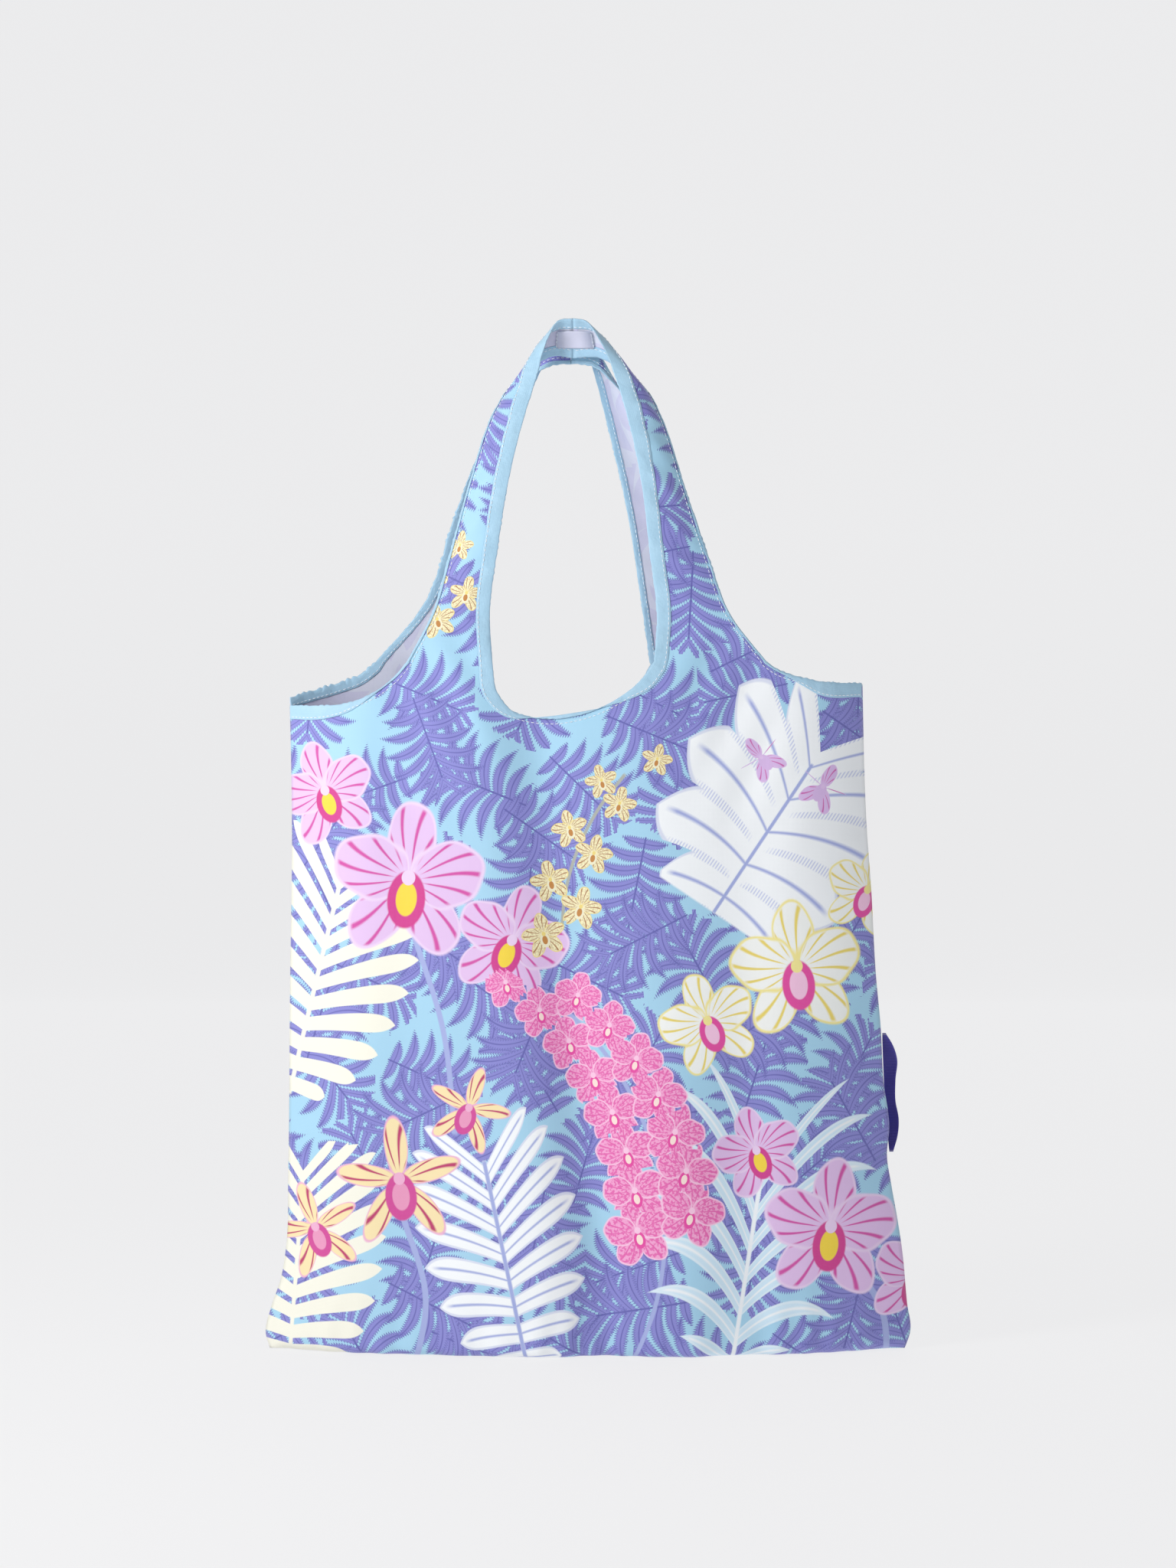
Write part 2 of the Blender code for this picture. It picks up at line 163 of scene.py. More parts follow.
# (height, value) knots: half the bag's depth, how square its plan is, and the x of its two side edges.
HALF_DEPTH = [(0.0, 0.0448), (0.48, 0.0305)]
FULLNESS = [(0.0, 3.4), (0.25, 4.0), (0.48, 5.5)]
LEFT_EDGE = [
    (0.0, -0.2185), (0.010, -0.2212), (0.028, -0.2175), (0.047, -0.2110), (0.070, -0.2072),
    (0.120, -0.2058), (0.250, -0.2045), (0.350, -0.2032), (0.480, -0.2055),
]
RIGHT_EDGE = [
    (0.0, 0.2175), (0.011, 0.2212), (0.031, 0.2190), (0.066, 0.2158), (0.088, 0.2125), (0.112, 0.2082),
    (0.133, 0.2052), (0.150, 0.2068), (0.184, 0.2028), (0.222, 0.2008), (0.254, 0.1978), (0.318, 0.1942),
    (0.350, 0.1918), (0.480, 0.1878),
]


def through(knots, at):
    """Values at places `at` on a smooth curve through (place, value) knots: a cubic between each two of
    them."""
    place, value = np.array(knots, float).T
    slope = np.gradient(value, place)
    i = np.clip(np.searchsorted(place, at) - 1, 0, len(place) - 2)
    step = place[i + 1] - place[i]
    t = np.clip((at - place[i]) / step, 0, 1)
    start = value[i] * (1 + 2 * t) + slope[i] * step * t
    end = value[i + 1] * (3 - 2 * t) - slope[i + 1] * step * (1 - t)
    return start * (1 - t) ** 2 + end * t * t


def ease(low, high, at):
    """0 before low, 1 after high, and a smooth step between them."""
    t = np.clip((at - low) / (high - low), 0, 1)
    return t * t * (3 - 2 * t)


def bump_at(x, centre, width):
    """A round hump of height 1."""
    return np.exp(-(((x - centre) / width) ** 2))


MEAN_HALF_WIDTH = 0.205


def drape(s, a, side):
    """How far the cloth stands out from its smooth shape: soft upright folds, pulls under the straps, base
    puckers."""
    x = MEAN_HALF_WIDTH * s
    lean = x - 0.10 * (a - 0.25) * np.sin(3 * s + side)
    upright = 0.0022 * bump_at(lean, -0.052, 0.030) - 0.0024 * bump_at(lean, -0.012, 0.020)
    upright += 0.0020 * bump_at(lean, 0.055, 0.030) - 0.0016 * bump_at(lean, 0.112, 0.022)
    upright -= 0.0014 * bump_at(lean, -0.125, 0.022)
    upright *= 1.3 + 1.4 * bump_at(a, 0.10, 0.16) + 0.5 * bump_at(a, 0.40, 0.08)
    pull = 0.0012 * np.sin((x + 0.55 * (a - 0.47)) * 190) * bump_at(x + 0.45 * (0.47 - a), -0.075, 0.045)
    pull += 0.0012 * np.sin((x - 0.55 * (a - 0.47)) * 180) * bump_at(x - 0.45 * (0.47 - a), 0.085, 0.045)
    pull *= ease(0.30, 0.45, a) * 0.7
    pucker = 0.0011 * np.sin(x * 290 + 2 * np.sin(x * 41)) * np.exp(-np.clip(a, 0, None) / 0.022)
    seam = 0.0010 * np.sin(a * 150 + 1.3 * np.sin(a * 37)) * np.exp(-(1 - np.abs(s)) / 0.10)
    broad = 0.0012 * np.sin(13 * x + 9 * a + side) * np.sin(17 * a - 5 * x)
    return (upright + pull + pucker + broad) * (1 - s**8) + seam * (1 - s**30)


def wall_point(s, a, out, side):
    """A point of a panel. s runs from the left seam, -1, to the right one, 1. a is the height along the
    cloth, which curls under at the foot and runs in along the base when a falls below 0. out lifts it off
    the cloth's middle."""
    up = np.clip(a, 0, None)
    left, right = through(LEFT_EDGE, up), through(RIGHT_EDGE, up)
    bulge = 1 - np.abs(s) ** through(FULLNESS, up)
    depth = SEAM_HALF + (through(HALF_DEPTH, up) - SEAM_HALF) * bulge + drape(s, a, side)
    depth = np.maximum(depth, SEAM_HALF * 0.8)
    curl = np.minimum(BASE_CURL, 0.9 * (depth - BASE_SLIT * 0.9)) + 1e-6
    angle = np.clip((curl - a) / curl, 0, None)
    bent = np.clip(angle, 0, math.pi / 2)
    inwards = np.clip(curl - a - curl * math.pi / 2, 0, None)
    y = np.where(a < curl, depth - curl + (curl + out) * np.cos(bent) - inwards, depth + out)
    z = np.where(a < curl, curl - (curl + out) * np.sin(bent), a)
    x = (left + right) / 2 + s * (right - left) / 2
    return np.stack([x, side * np.maximum(y, 0.0001), z + CLOTH / 2 + 0.0001 * (a < curl)], axis=-1)


def foot_length(s, side):
    """The value of a where the cloth under the base meets the bottom seam."""
    depth = np.abs(wall_point(s, np.full_like(s, 0.02), 0, side)[..., 1])
    curl = np.minimum(BASE_CURL, 0.9 * (depth - BASE_SLIT * 0.9))
    return curl - curl * math.pi / 2 - np.clip(depth - curl - BASE_SLIT, 0, None)


def across_of(x, z):
    """The place across a panel, from -1 to 1, of a point x at height z."""
    left, right = through(LEFT_EDGE, z), through(RIGHT_EDGE, z)
    return (x - (left + right) / 2) / ((right - left) / 2)


# The cut of each panel: its shoulder edges and neck, as (x, z), and its straps' inner and outer edges, as
# (place along the strap, x, distance from the middle plane, z).
CUTS = {
    "front": {
        "left_shoulder": [(-0.2055, 0.4405), (-0.187, 0.440), (-0.164, 0.4415), (-0.1435, 0.450),
                          (-0.132, 0.459), (-0.1225, 0.470)],
        "neck": [(-0.0655, 0.470), (-0.0625, 0.450), (-0.054, 0.438), (-0.029, 0.431), (-0.004, 0.434),
                 (0.021, 0.445), (0.036, 0.457), (0.0455, 0.470)],
        "right_shoulder": [(0.1210, 0.470), (0.129, 0.4645), (0.142, 0.460), (0.158, 0.4565),
                           (0.188, 0.4555)],
    },
    "back": {
        "left_shoulder": [(-0.2055, 0.4455), (-0.195, 0.449), (-0.173, 0.456), (-0.158, 0.462),
                          (-0.148, 0.470)],
        "neck": [(-0.0850, 0.470), (-0.0810, 0.450), (-0.066, 0.437), (-0.034, 0.431), (-0.004, 0.433),
                 (0.022, 0.443), (0.036, 0.456), (0.0440, 0.470)],
        "right_shoulder": [(0.1120, 0.470), (0.122, 0.464), (0.140, 0.459), (0.158, 0.4565), (0.188, 0.4555)],
    },
}
STRAPS = {
    "front_left": (
        [(0, -0.0655, 0.0310, 0.470), (0.15, -0.0672, 0.0305, 0.505), (0.32, -0.0620, 0.0285, 0.548),
         (0.5, -0.0550, 0.0255, 0.592), (0.68, -0.0450, 0.0225, 0.634), (0.80, -0.0360, 0.0200, 0.664),
         (0.90, -0.0275, 0.0185, 0.692), (0.955, -0.0200, 0.0175, 0.7030), (1, -0.0102, 0.0175, 0.7045)],
        [(0, -0.1225, 0.0310, 0.470), (0.15, -0.1055, 0.0275, 0.503), (0.32, -0.0935, 0.0215, 0.545),
         (0.5, -0.0800, 0.0150, 0.595), (0.68, -0.0650, 0.0090, 0.640), (0.80, -0.0510, 0.0060, 0.6620),
         (0.90, -0.0340, 0.0045, 0.6770), (0.955, -0.0220, 0.0038, 0.6815), (1, -0.0102, 0.0035, 0.6800)],
    ),
    "front_right": (
        [(0, 0.0455, 0.0310, 0.470), (0.15, 0.0475, 0.0305, 0.503), (0.32, 0.0425, 0.0285, 0.545),
         (0.5, 0.0370, 0.0255, 0.592), (0.68, 0.0285, 0.0225, 0.634), (0.80, 0.0205, 0.0200, 0.661),
         (0.90, 0.0095, 0.0185, 0.688), (0.955, -0.0005, 0.0175, 0.7025), (1, -0.0102, 0.0175, 0.7045)],
        [(0, 0.1210, 0.0310, 0.470), (0.15, 0.0965, 0.0275, 0.502), (0.32, 0.0820, 0.0215, 0.541),
         (0.5, 0.0670, 0.0150, 0.586), (0.68, 0.0510, 0.0090, 0.636), (0.80, 0.0390, 0.0060, 0.6580),
         (0.90, 0.0200, 0.0045, 0.6740), (0.955, 0.0050, 0.0038, 0.6810), (1, -0.0102, 0.0035, 0.6800)],
    ),
    "back_left": (
        [(0, -0.0850, 0.0310, 0.470), (0.2, -0.0800, 0.0290, 0.515), (0.45, -0.0680, 0.0240, 0.575),
         (0.7, -0.0500, 0.0200, 0.632), (0.87, -0.0325, 0.0180, 0.675), (0.95, -0.0210, 0.0175, 0.6955),
         (1, -0.0118, 0.0175, 0.6980)],
        [(0, -0.1480, 0.0310, 0.470), (0.2, -0.1130, 0.0285, 0.513), (0.45, -0.0915, 0.0210, 0.573),
         (0.7, -0.0725, 0.0130, 0.620), (0.87, -0.0470, 0.0060, 0.661), (0.95, -0.0260, 0.0040, 0.6760),
         (1, -0.0118, 0.0035, 0.6770)],
    ),
    "back_right": (
        [(0, 0.0440, 0.0310, 0.470), (0.2, 0.0375, 0.0290, 0.515), (0.45, 0.0280, 0.0240, 0.575),
         (0.7, 0.0160, 0.0200, 0.628), (0.87, 0.0040, 0.0180, 0.674), (0.95, -0.0030, 0.0175, 0.6955),
         (1, -0.0118, 0.0175, 0.6980)],
        [(0, 0.1120, 0.0310, 0.470), (0.2, 0.0850, 0.0285, 0.513), (0.45, 0.0620, 0.0210, 0.572),
         (0.7, 0.0430, 0.0130, 0.627), (0.87, 0.0200, 0.0060, 0.661), (0.95, 0.0020, 0.0040, 0.6760),
         (1, -0.0118, 0.0035, 0.6770)],
    ),
}
JOIN = 0.20  # the share of a strap in which it leaves the panel's surface
STRAP_STEPS = 201  # the places along a strap at which its edges are worked out
ARCH = [(0, 0.0000), (0.2, 0.0020), (0.5, 0.0035), (0.8, 0.0050), (1, 0.0035)]


def edge_points(knots, at, side):
    """Points of a strap's edge at places along it."""
    knots = np.array(knots)
    x, y, z = (through(knots[:, [0, i]], at) for i in (1, 2, 3))
    return np.stack([x, side * y, z], axis=-1)


def strap_point(name, along, q, out, side):
    """A point of a strap: between its inner edge, q 0, and its outer one, q 1, raised into an arch, and
    near its foot drawn back onto the panel's own surface."""
    line = np.linspace(0, 1, STRAP_STEPS)
    inner, outer = (edge_points(knots, line, side) for knots in STRAPS[name])
    forward = np.gradient((inner + outer) / 2, axis=0)
    normal = np.cross(outer - inner, forward)
    normal *= np.where(normal[0, 1] * side < 0, -1, 1)
    normal /= np.linalg.norm(normal, axis=1, keepdims=True)

    def pick(values):
        return np.stack([np.interp(along, line, values[:, i]) for i in range(3)], axis=-1)

    first, last, up = pick(inner), pick(outer), pick(normal)
    arch = through(ARCH, along) * np.sin(math.pi * np.clip(q, 0, 1)) ** 0.9
    ripple = 0.0005 * np.sin(along * 61 + 5 * q) * np.sin(math.pi * np.clip(q, 0, 1))
    free = first + (last - first) * q[..., None] + up * (arch + ripple + out)[..., None]
    flat = first + (last - first) * q[..., None]
    laid = wall_point(across_of(flat[..., 0], flat[..., 2]), flat[..., 2], out, side)
    share = ease(0, JOIN, along)[..., None]
    return laid * (1 - share) + free * share


def strap_flat(name, along, q):
    """Where a point of a strap lies on the cloth before it was shaped, in metres: the strap rolled out
    straight."""
    line = np.linspace(0, 1, STRAP_STEPS)
    inner, outer = (edge_points(knots, line, 1) for knots in STRAPS[name])
    middle = (inner + outer) / 2
    run = run_along(middle)
    width = np.linalg.norm(outer - inner, axis=1) * np.sign(outer[0, 0] - inner[0, 0])
    x = np.interp(along, line, middle[:, 0]) + (q - 0.5) * np.interp(along, line, width)
    return np.stack([x, FOLD_HEIGHT + np.interp(along, line, run)], axis=-1)


def spread(knots, count):
    """Points at even steps along a smooth line through (x, z) knots."""
    knots = np.array(knots)
    run = run_along(knots)
    at = np.linspace(0, run[-1], count)
    return np.stack([through(np.stack([run, knots[:, i]], 1), at) for i in (0, 1)], axis=1)


# The cells of a panel's mesh across each part of its top edge, and its rows under the base, up the wall and
# up a strap.
COLUMNS = {"left_shoulder": 32, "left_strap": 21, "neck": 50, "right_strap": 27, "right_shoulder": 26}
FOOT_ROWS, WALL_ROWS, STRAP_ROWS = 22, 150, 84


def panel_grid(word, side):
    """A panel's points, faces and flat places. Its upright lines end on the cut's outline, and each strap's
    grid stands on the outline between a shoulder and the neck."""
    cuts = CUTS[word]
    left, neck, right = (spread(cuts[k], COLUMNS[k] + 1) for k in ("left_shoulder", "neck", "right_shoulder"))
    straps = [
        np.linspace(a, b, COLUMNS[k] + 1)[1:-1]
        for a, b, k in ((left[-1], neck[0], "left_strap"), (neck[-1], right[0], "right_strap"))
    ]
    top = np.concatenate([left, straps[0], neck, straps[1], right])
    top_s = across_of(top[:, 0], top[:, 1])
    top_s[0], top_s[-1] = -1, 1
    foot_s = np.linspace(-1, 1, len(top))
    foot = foot_length(foot_s, side)
    low, high = np.linspace(0, 1, FOOT_ROWS, endpoint=False)[:, None], np.linspace(0, 1, WALL_ROWS)[:, None]
    start = BASE_CURL + 0 * foot
    a = np.concatenate([foot + (start - foot) * low, start + (top[:, 1] - start) * high])
    lift = np.clip(a / top[:, 1], 0, 1)
    s = foot_s + (top_s - foot_s) * lift**3
    points = wall_point(s, a, 0, side).reshape(-1, 3)
    flat = np.stack([points[:, 0], a.ravel()], axis=1)
    index = np.arange(a.size).reshape(a.shape)
    faces = [grid_faces(index)]
    first_column = {"left": len(left) - 1, "right": len(left) + len(straps[0]) + len(neck) - 1}
    for hand in ("left", "right"):
        count = COLUMNS[hand + "_strap"] + 1
        along = np.linspace(0, 1, STRAP_ROWS)[1:, None] * np.ones(count)
        q = np.linspace(1, 0, count) if hand == "left" else np.linspace(0, 1, count)
        q = q + 0 * along
        foot_row = index[-1, first_column[hand]:first_column[hand] + count]
        rolled = strap_flat(f"{word}_{hand}", along, q)
        share = ease(0, JOIN, along)[..., None]
        strap = strap_point(f"{word}_{hand}", along, q, 0, side)
        laid = np.stack([strap[..., 0], strap[..., 2]], axis=-1)
        number = len(points) + np.arange(along.size).reshape(along.shape)
        faces.append(grid_faces(np.concatenate([foot_row[None], number])))
        points = np.concatenate([points, strap.reshape(-1, 3)])
        flat = np.concatenate([flat, (laid * (1 - share) + rolled * share).reshape(-1, 2)])
    faces = np.concatenate(faces)
    return points, faces if side == FRONT else faces[:, ::-1], flat


# The print. Each motif is placed on the flat cloth, and every face of the mesh carries, at its corners, its
# place within the nearest motif of each layer; one set of formulas in the material then draws all of them.
class Term:
    """A number in a material's nodes, so that a formula there reads as arithmetic."""

    def __init__(self, tree, socket):
        self.tree, self.socket = tree, socket

    def math(self, operation, *others, clamp=False):
        node = self.tree.nodes.new("ShaderNodeMath")
        node.operation, node.use_clamp = operation, clamp
        for slot, value in zip(node.inputs, (self, *others)):
            if isinstance(value, Term):
                self.tree.links.new(value.socket, slot)
            else:
                slot.default_value = value
        return Term(self.tree, node.outputs[0])

    def __add__(self, other):
        return self.math("ADD", other)

    def __sub__(self, other):
        return self.math("SUBTRACT", other)

    def __rsub__(self, other):
        return self.math("MULTIPLY_ADD", -1.0, other)

    def __mul__(self, other):
        return self.math("MULTIPLY", other)

    def __truediv__(self, other):
        return self.math("DIVIDE", other)

    def __pow__(self, other):
        return self.math("POWER", other)

    __radd__, __rmul__ = __add__, __mul__

    def over(self, level, sharp):
        """1 above the level and 0 below it, with an edge as sharp as given."""
        if isinstance(level, Term):
            return (self - level).math("MULTIPLY_ADD", sharp, 0.5, clamp=True)
        return self.math("MULTIPLY_ADD", sharp, 0.5 - level * sharp, clamp=True)

    def under(self, level, sharp):
        """1 below the level and 0 above it."""
        if isinstance(level, Term):
            return (level - self).math("MULTIPLY_ADD", sharp, 0.5, clamp=True)
        return self.over(level, -sharp)

    def size(self):
        return self.math("ABSOLUTE")

    def wave(self):
        """A triangle wave from 0 to 1 with a period of 1."""
        return self.math("PINGPONG", 0.5) * 2


def attribute(tree, name):
    node = tree.nodes.new("ShaderNodeAttribute")
    node.attribute_name = name
    return node.outputs["Vector"]


def parts_of(tree, vector):
    node = tree.nodes.new("ShaderNodeSeparateXYZ")
    tree.links.new(vector, node.inputs[0])
    return [Term(tree, socket) for socket in node.outputs]


def mixed(tree, share, under, over):
    """The colour `over` laid on the colour `under` by a share. Each is a socket or three numbers."""
    node = tree.nodes.new("ShaderNodeMix")
    node.data_type = "RGBA"
    tree.links.new(share.socket, node.inputs["Factor"])
    for value, slot in ((under, node.inputs[6]), (over, node.inputs[7])):
        if isinstance(value, tuple):
            slot.default_value = (*value, 1)
        else:
            tree.links.new(value, slot)
    return node.outputs[2]


def noise(tree, vector, scale, detail=2.0):
    node = tree.nodes.new("ShaderNodeTexNoise")
    node.inputs["Scale"].default_value = scale
    node.inputs["Detail"].default_value = detail
    tree.links.new(vector, node.inputs["Vector"])
    return Term(tree, node.outputs[0])


def draw_frond(tree, place, form, bend, teeth, paint):
    """A feathered leaf along its own y. Leaflets leave the rib at an angle that grows by `fan` towards the
    tip, and curve back by `droop`. Each narrows to its end at the leaf's outline, the later the higher
    `blunt` is, and may have teeth."""
    x, y, _ = parts_of(tree, place)
    spacing, blunt, fat = form
    rise, droop, reach = bend
    fan = 1.5
    side = x.size()
    root = (y - side * rise + side * side * droop) / (side * fan + 1)
    row = root / spacing
    centre = (row.math("FLOOR") + 0.5) * spacing
    off = (row.math("FRACT") - 0.5).size()
    profile = (centre * (1.03 - centre) * 4).math("MAXIMUM", 0.0001) ** 0.55
    out = side / (profile * reach)
    tooth = (side * 42 + row.math("FLOOR") * 0.37).wave() * teeth
    half = fat - (out ** blunt) * fat - tooth
    inside = half - off
    leaf = inside.over(0.0, 32) * y.over(0.0, 80) * centre.under(1.0, 60)
    rib = side.under(0.009, 160) * y.over(0.0, 80) * y.under(0.97, 80)
    outline = leaf * inside.under(0.065, 28)
    vein = off.under(0.035, 18) * out.under(0.86, 9) * leaf
    dashes = off.over(0.42, 28) * (side * 60).wave().over(0.55, 4)
    dashes = dashes * out.under(0.72, 8) * out.over(0.12, 9) * leaf
    return paint(tree, leaf.math("MAXIMUM", rib), outline, vein.math("MAXIMUM", rib), dashes)


BLOOM_COLOURS = ("fill", "line", "rim", "lip", "core")


def draw_bloom(tree, layer, under):
    """A flower seen from the front, alike on both sides of its y: two side petals, a top petal and two
    lower ones are ovals, veins fan out from the middle, and a lip with a core hangs below it."""
    x, y, ruffle = parts_of(tree, attribute(tree, layer))
    petal, sepal, speckled = parts_of(tree, attribute(tree, layer + "_form"))
    fill, line, rim, lip, core = (attribute(tree, f"{layer}_{part}") for part in BLOOM_COLOURS)
    side = x.size()
    radius = (x * x + y * y).math("SQRT")
    turned = x.math("ARCTAN2", y)
    wobble = (turned * 5.3 + ruffle * 6).math("SINE") * 0.08 + (turned * 13 + ruffle * 3).math("SINE") * 0.05

    def oval(cx, cy, angle, length, width):
        along = (side - cx) * math.cos(angle) + (y - cy) * math.sin(angle)
        off = (y - cy) * math.cos(angle) - (side - cx) * math.sin(angle)
        return 1 - (along / length) ** 2 - (off / width) ** 2 + wobble

    def petals(shape, under):
        inside = shape.over(0.0, 7)
        streak = (turned * 3.2 + shape * 0.25).wave().over(0.80, 5)
        streak = streak * shape.over(0.22, 5) * radius.over(0.22, 8)
        colour = mixed(tree, streak, fill, line)
        spot = noise(tree, attribute(tree, layer), 11, 1).over(0.52, 10) * speckled
        spot = spot * radius.over(0.15, 9) * shape.over(0.2, 6)
        colour = mixed(tree, spot, colour, line)
        colour = mixed(tree, shape.under(0.17, 9), colour, rim)
        return mixed(tree, inside, under, colour)

    top = (1 - (side / sepal) ** 2 - ((y - 0.52) / 0.50) ** 2) + wobble
    low = oval(0.34, -0.48, -0.98, 0.50, sepal)
    wide = oval(0.50, 0.12, 0.20, 0.50, petal)
    colour = petals(top.math("MAXIMUM", low), under)
    colour = petals(wide, colour)
    grow = speckled * -0.45 + 1.25
    lip_shape = 1 - (side / grow / 0.20) ** 2 - ((y + 0.26) / grow / 0.30) ** 2
    core_shape = 1 - (side / grow / 0.11) ** 2 - ((y + 0.25) / grow / 0.18) ** 2
    colour = mixed(tree, lip_shape.over(0.0, 6), colour, lip)
    colour = mixed(tree, core_shape.over(0.0, 5), colour, core)
    middle = 1 - (side / 0.09) ** 2 - ((y - 0.03) / 0.10) ** 2
    return mixed(tree, middle.over(0.0, 5), colour, rim)


GROUND = (0.38, 0.66, 0.86)
FERN, FERN_DARK, FERN_PALE = (0.235, 0.235, 0.62), (0.085, 0.085, 0.38), (0.42, 0.58, 0.84)
FERN_FORM, FERN_BEND = (0.132, 2.6, 0.49), (0.05, 1.15, 0.56)


def fern_paint(under):
    def paint(tree, leaf, outline, vein, dashes):
        colour = mixed(tree, leaf, under, FERN)
        colour = mixed(tree, outline * 0.75, colour, FERN_DARK)
        colour = mixed(tree, vein * 0.8, colour, FERN_DARK)
        return mixed(tree, dashes * 0.8, colour, FERN_PALE)
    return paint


def leaf_paint(under):
    def paint(tree, leaf, outline, vein, dashes):
        colour = mixed(tree, leaf, under, attribute(tree, "leaf_fill"))
        line = (vein * 0.9).math("MAXIMUM", outline * 0.35).math("MAXIMUM", dashes * 0.5)
        return mixed(tree, line, colour, attribute(tree, "leaf_line"))
    return paint


def raise_surface(tree, shader, height, distance, strength):
    """Feeds a height to the shader as bump."""
    bump = tree.nodes.new("ShaderNodeBump")
    bump.inputs["Distance"].default_value = distance
    bump.inputs["Strength"].default_value = strength
    tree.links.new(height.socket, bump.inputs["Height"])
    tree.links.new(bump.outputs[0], shader.inputs["Normal"])


THREADS_PER_METRE, THREAD_RELIEF, CREASE_RELIEF = 1600, 0.00012, 0.0012


def woven_surface(tree, shader, flat):
    """A fine plain weave and soft creases as bump: two crossed waves of threads, and noise."""
    u, v, _ = parts_of(tree, flat)
    threads = (u * THREADS_PER_METRE).wave() * (v * THREADS_PER_METRE).wave()
    raise_surface(tree, shader, threads * THREAD_RELIEF + noise(tree, flat, 28, 3) * CREASE_RELIEF, 1.0, 0.6)
    return threads


def uv_of(tree):
    return tree.nodes.new("ShaderNodeUVMap").outputs[0]


def cloth_shader(name, roughness, sheen):
    material = bpy.data.materials.new(name)
    material.use_nodes = True
    shader = material.node_tree.nodes["Principled BSDF"]
    shader.inputs["Roughness"].default_value = roughness
    shader.inputs["Sheen Weight"].default_value = sheen
    shader.inputs["Sheen Roughness"].default_value = 0.45
    shader.inputs["Specular IOR Level"].default_value = 0.35
    return material, material.node_tree, shader


def printed_cloth():
    """The outside: ground, two layers of fern, stems, large leaves and two layers of flowers, then the
    weave."""
    material, tree, shader = cloth_shader("printed_cloth", 0.55, 0.25)
    flat = uv_of(tree)
    tint = noise(tree, flat, 9, 1)
    colour = mixed(tree, tint, tuple(0.93 * c for c in GROUND), GROUND)
    for layer in ("fern_low", "fern_high"):
        colour = draw_frond(tree, attribute(tree, layer), FERN_FORM, FERN_BEND, 0.19, fern_paint(colour))
    distance, along, width = parts_of(tree, attribute(tree, "stem"))
    stem = distance.size().under(width, 1400) * along.over(0.0, 60) * along.under(1.0, 60)
    colour = mixed(tree, stem, colour, attribute(tree, "stem_colour"))
    form, bend = (parts_of(tree, attribute(tree, n)) for n in ("leaf_form", "leaf_bend"))
    colour = draw_frond(tree, attribute(tree, "leaf"), form, bend, 0.0, leaf_paint(colour))
    for layer in ("bloom_low", "bloom_high"):
        colour = draw_bloom(tree, layer, colour)
    threads = woven_surface(tree, shader, flat)
    colour = mixed(tree, threads * 0.10, colour, (0.9, 0.93, 1.0))
    tree.links.new(colour, shader.inputs["Base Color"])
    return material


def cloth_reverse():
    """The inside: pale lavender with the fern showing through faintly."""
    material, tree, shader = cloth_shader("cloth_reverse", 0.6, 0.2)
    flat = uv_of(tree)

    def ghost(tree, leaf, outline, vein, dashes):
        return mixed(tree, leaf * 0.55, (0.66, 0.68, 0.80), (0.55, 0.53, 0.74))

    colour = draw_frond(tree, attribute(tree, "fern_low"), FERN_FORM, FERN_BEND, 0.0, ghost)
    threads = woven_surface(tree, shader, flat)
    tree.links.new(mixed(tree, threads * 0.12, colour, (0.9, 0.9, 1.0)), shader.inputs["Base Color"])
    return material


FAR = 9.0  # a place outside every motif
MOTIF_REACH = 1.35  # how far from its middle a motif is still drawn, in its own sizes
STEM_REACH = 0.012


def put(mesh, name, kind, domain, values):
    layer = mesh.attributes.new(name, kind, domain)
    layer.data.foreach_set("vector", np.ascontiguousarray(values, np.float32).ravel())


def lay_motifs(mesh, name, faces, flat, motifs, extent):
    """Gives each face the motif nearest to its middle, and each of its corners its place in that motif:
    turned by the motif's angle and divided by its size. Returns the motif of each face. A motif is (x, z,
    degrees, size)."""
    place = np.array([m[:4] for m in motifs], float)
    middle = flat[faces].mean(axis=1)
    angle = np.radians(place[:, 2])
    up = np.stack([-np.sin(angle), np.cos(angle)], axis=1)
    heart = place[:, :2] + up * place[:, 3:4] * extent
    gap = np.linalg.norm(middle[:, None] - heart[None], axis=2) / place[None, :, 3]
    chosen = gap.argmin(axis=1)
    corner = flat[faces] - place[chosen, :2][:, None]
    c, s = np.cos(angle[chosen])[:, None], np.sin(angle[chosen])[:, None]
    x = (corner[..., 0] * c + corner[..., 1] * s) / place[chosen, 3][:, None]
    y = (corner[..., 1] * c - corner[..., 0] * s) / place[chosen, 3][:, None]
    local = np.stack([x, y, chosen[:, None] + 0 * x], axis=-1)
    local[gap.min(axis=1) > MOTIF_REACH] = FAR
    put(mesh, name, "FLOAT_VECTOR", "CORNER", local)
    return chosen


def face_values(mesh, name, chosen, values):
    put(mesh, name, "FLOAT_VECTOR", "FACE", np.array(values, float)[chosen])


# A flower's looks: (side petals' width, other petals' width, how speckled it is), and its parts' colours.
PINK = {
    "form": (0.44, 0.38, 0.9), "fill": (0.89, 0.37, 0.64), "line": (0.78, 0.11, 0.42),
    "rim": (0.95, 0.58, 0.78), "lip": (0.78, 0.05, 0.36), "core": (0.96, 0.75, 0.70),
}
MOTH = {
    "form": (0.44, 0.33, 0.0), "fill": (0.90, 0.92, 0.90), "line": (0.82, 0.66, 0.13),
    "rim": (0.90, 0.80, 0.30), "lip": (0.75, 0.05, 0.34), "core": (0.90, 0.55, 0.76),
}
LILAC = {
    "form": (0.44, 0.34, 0.0), "fill": (0.74, 0.52, 0.82), "line": (0.62, 0.06, 0.36),
    "rim": (0.80, 0.62, 0.86), "lip": (0.62, 0.03, 0.26), "core": (0.90, 0.66, 0.04),
}
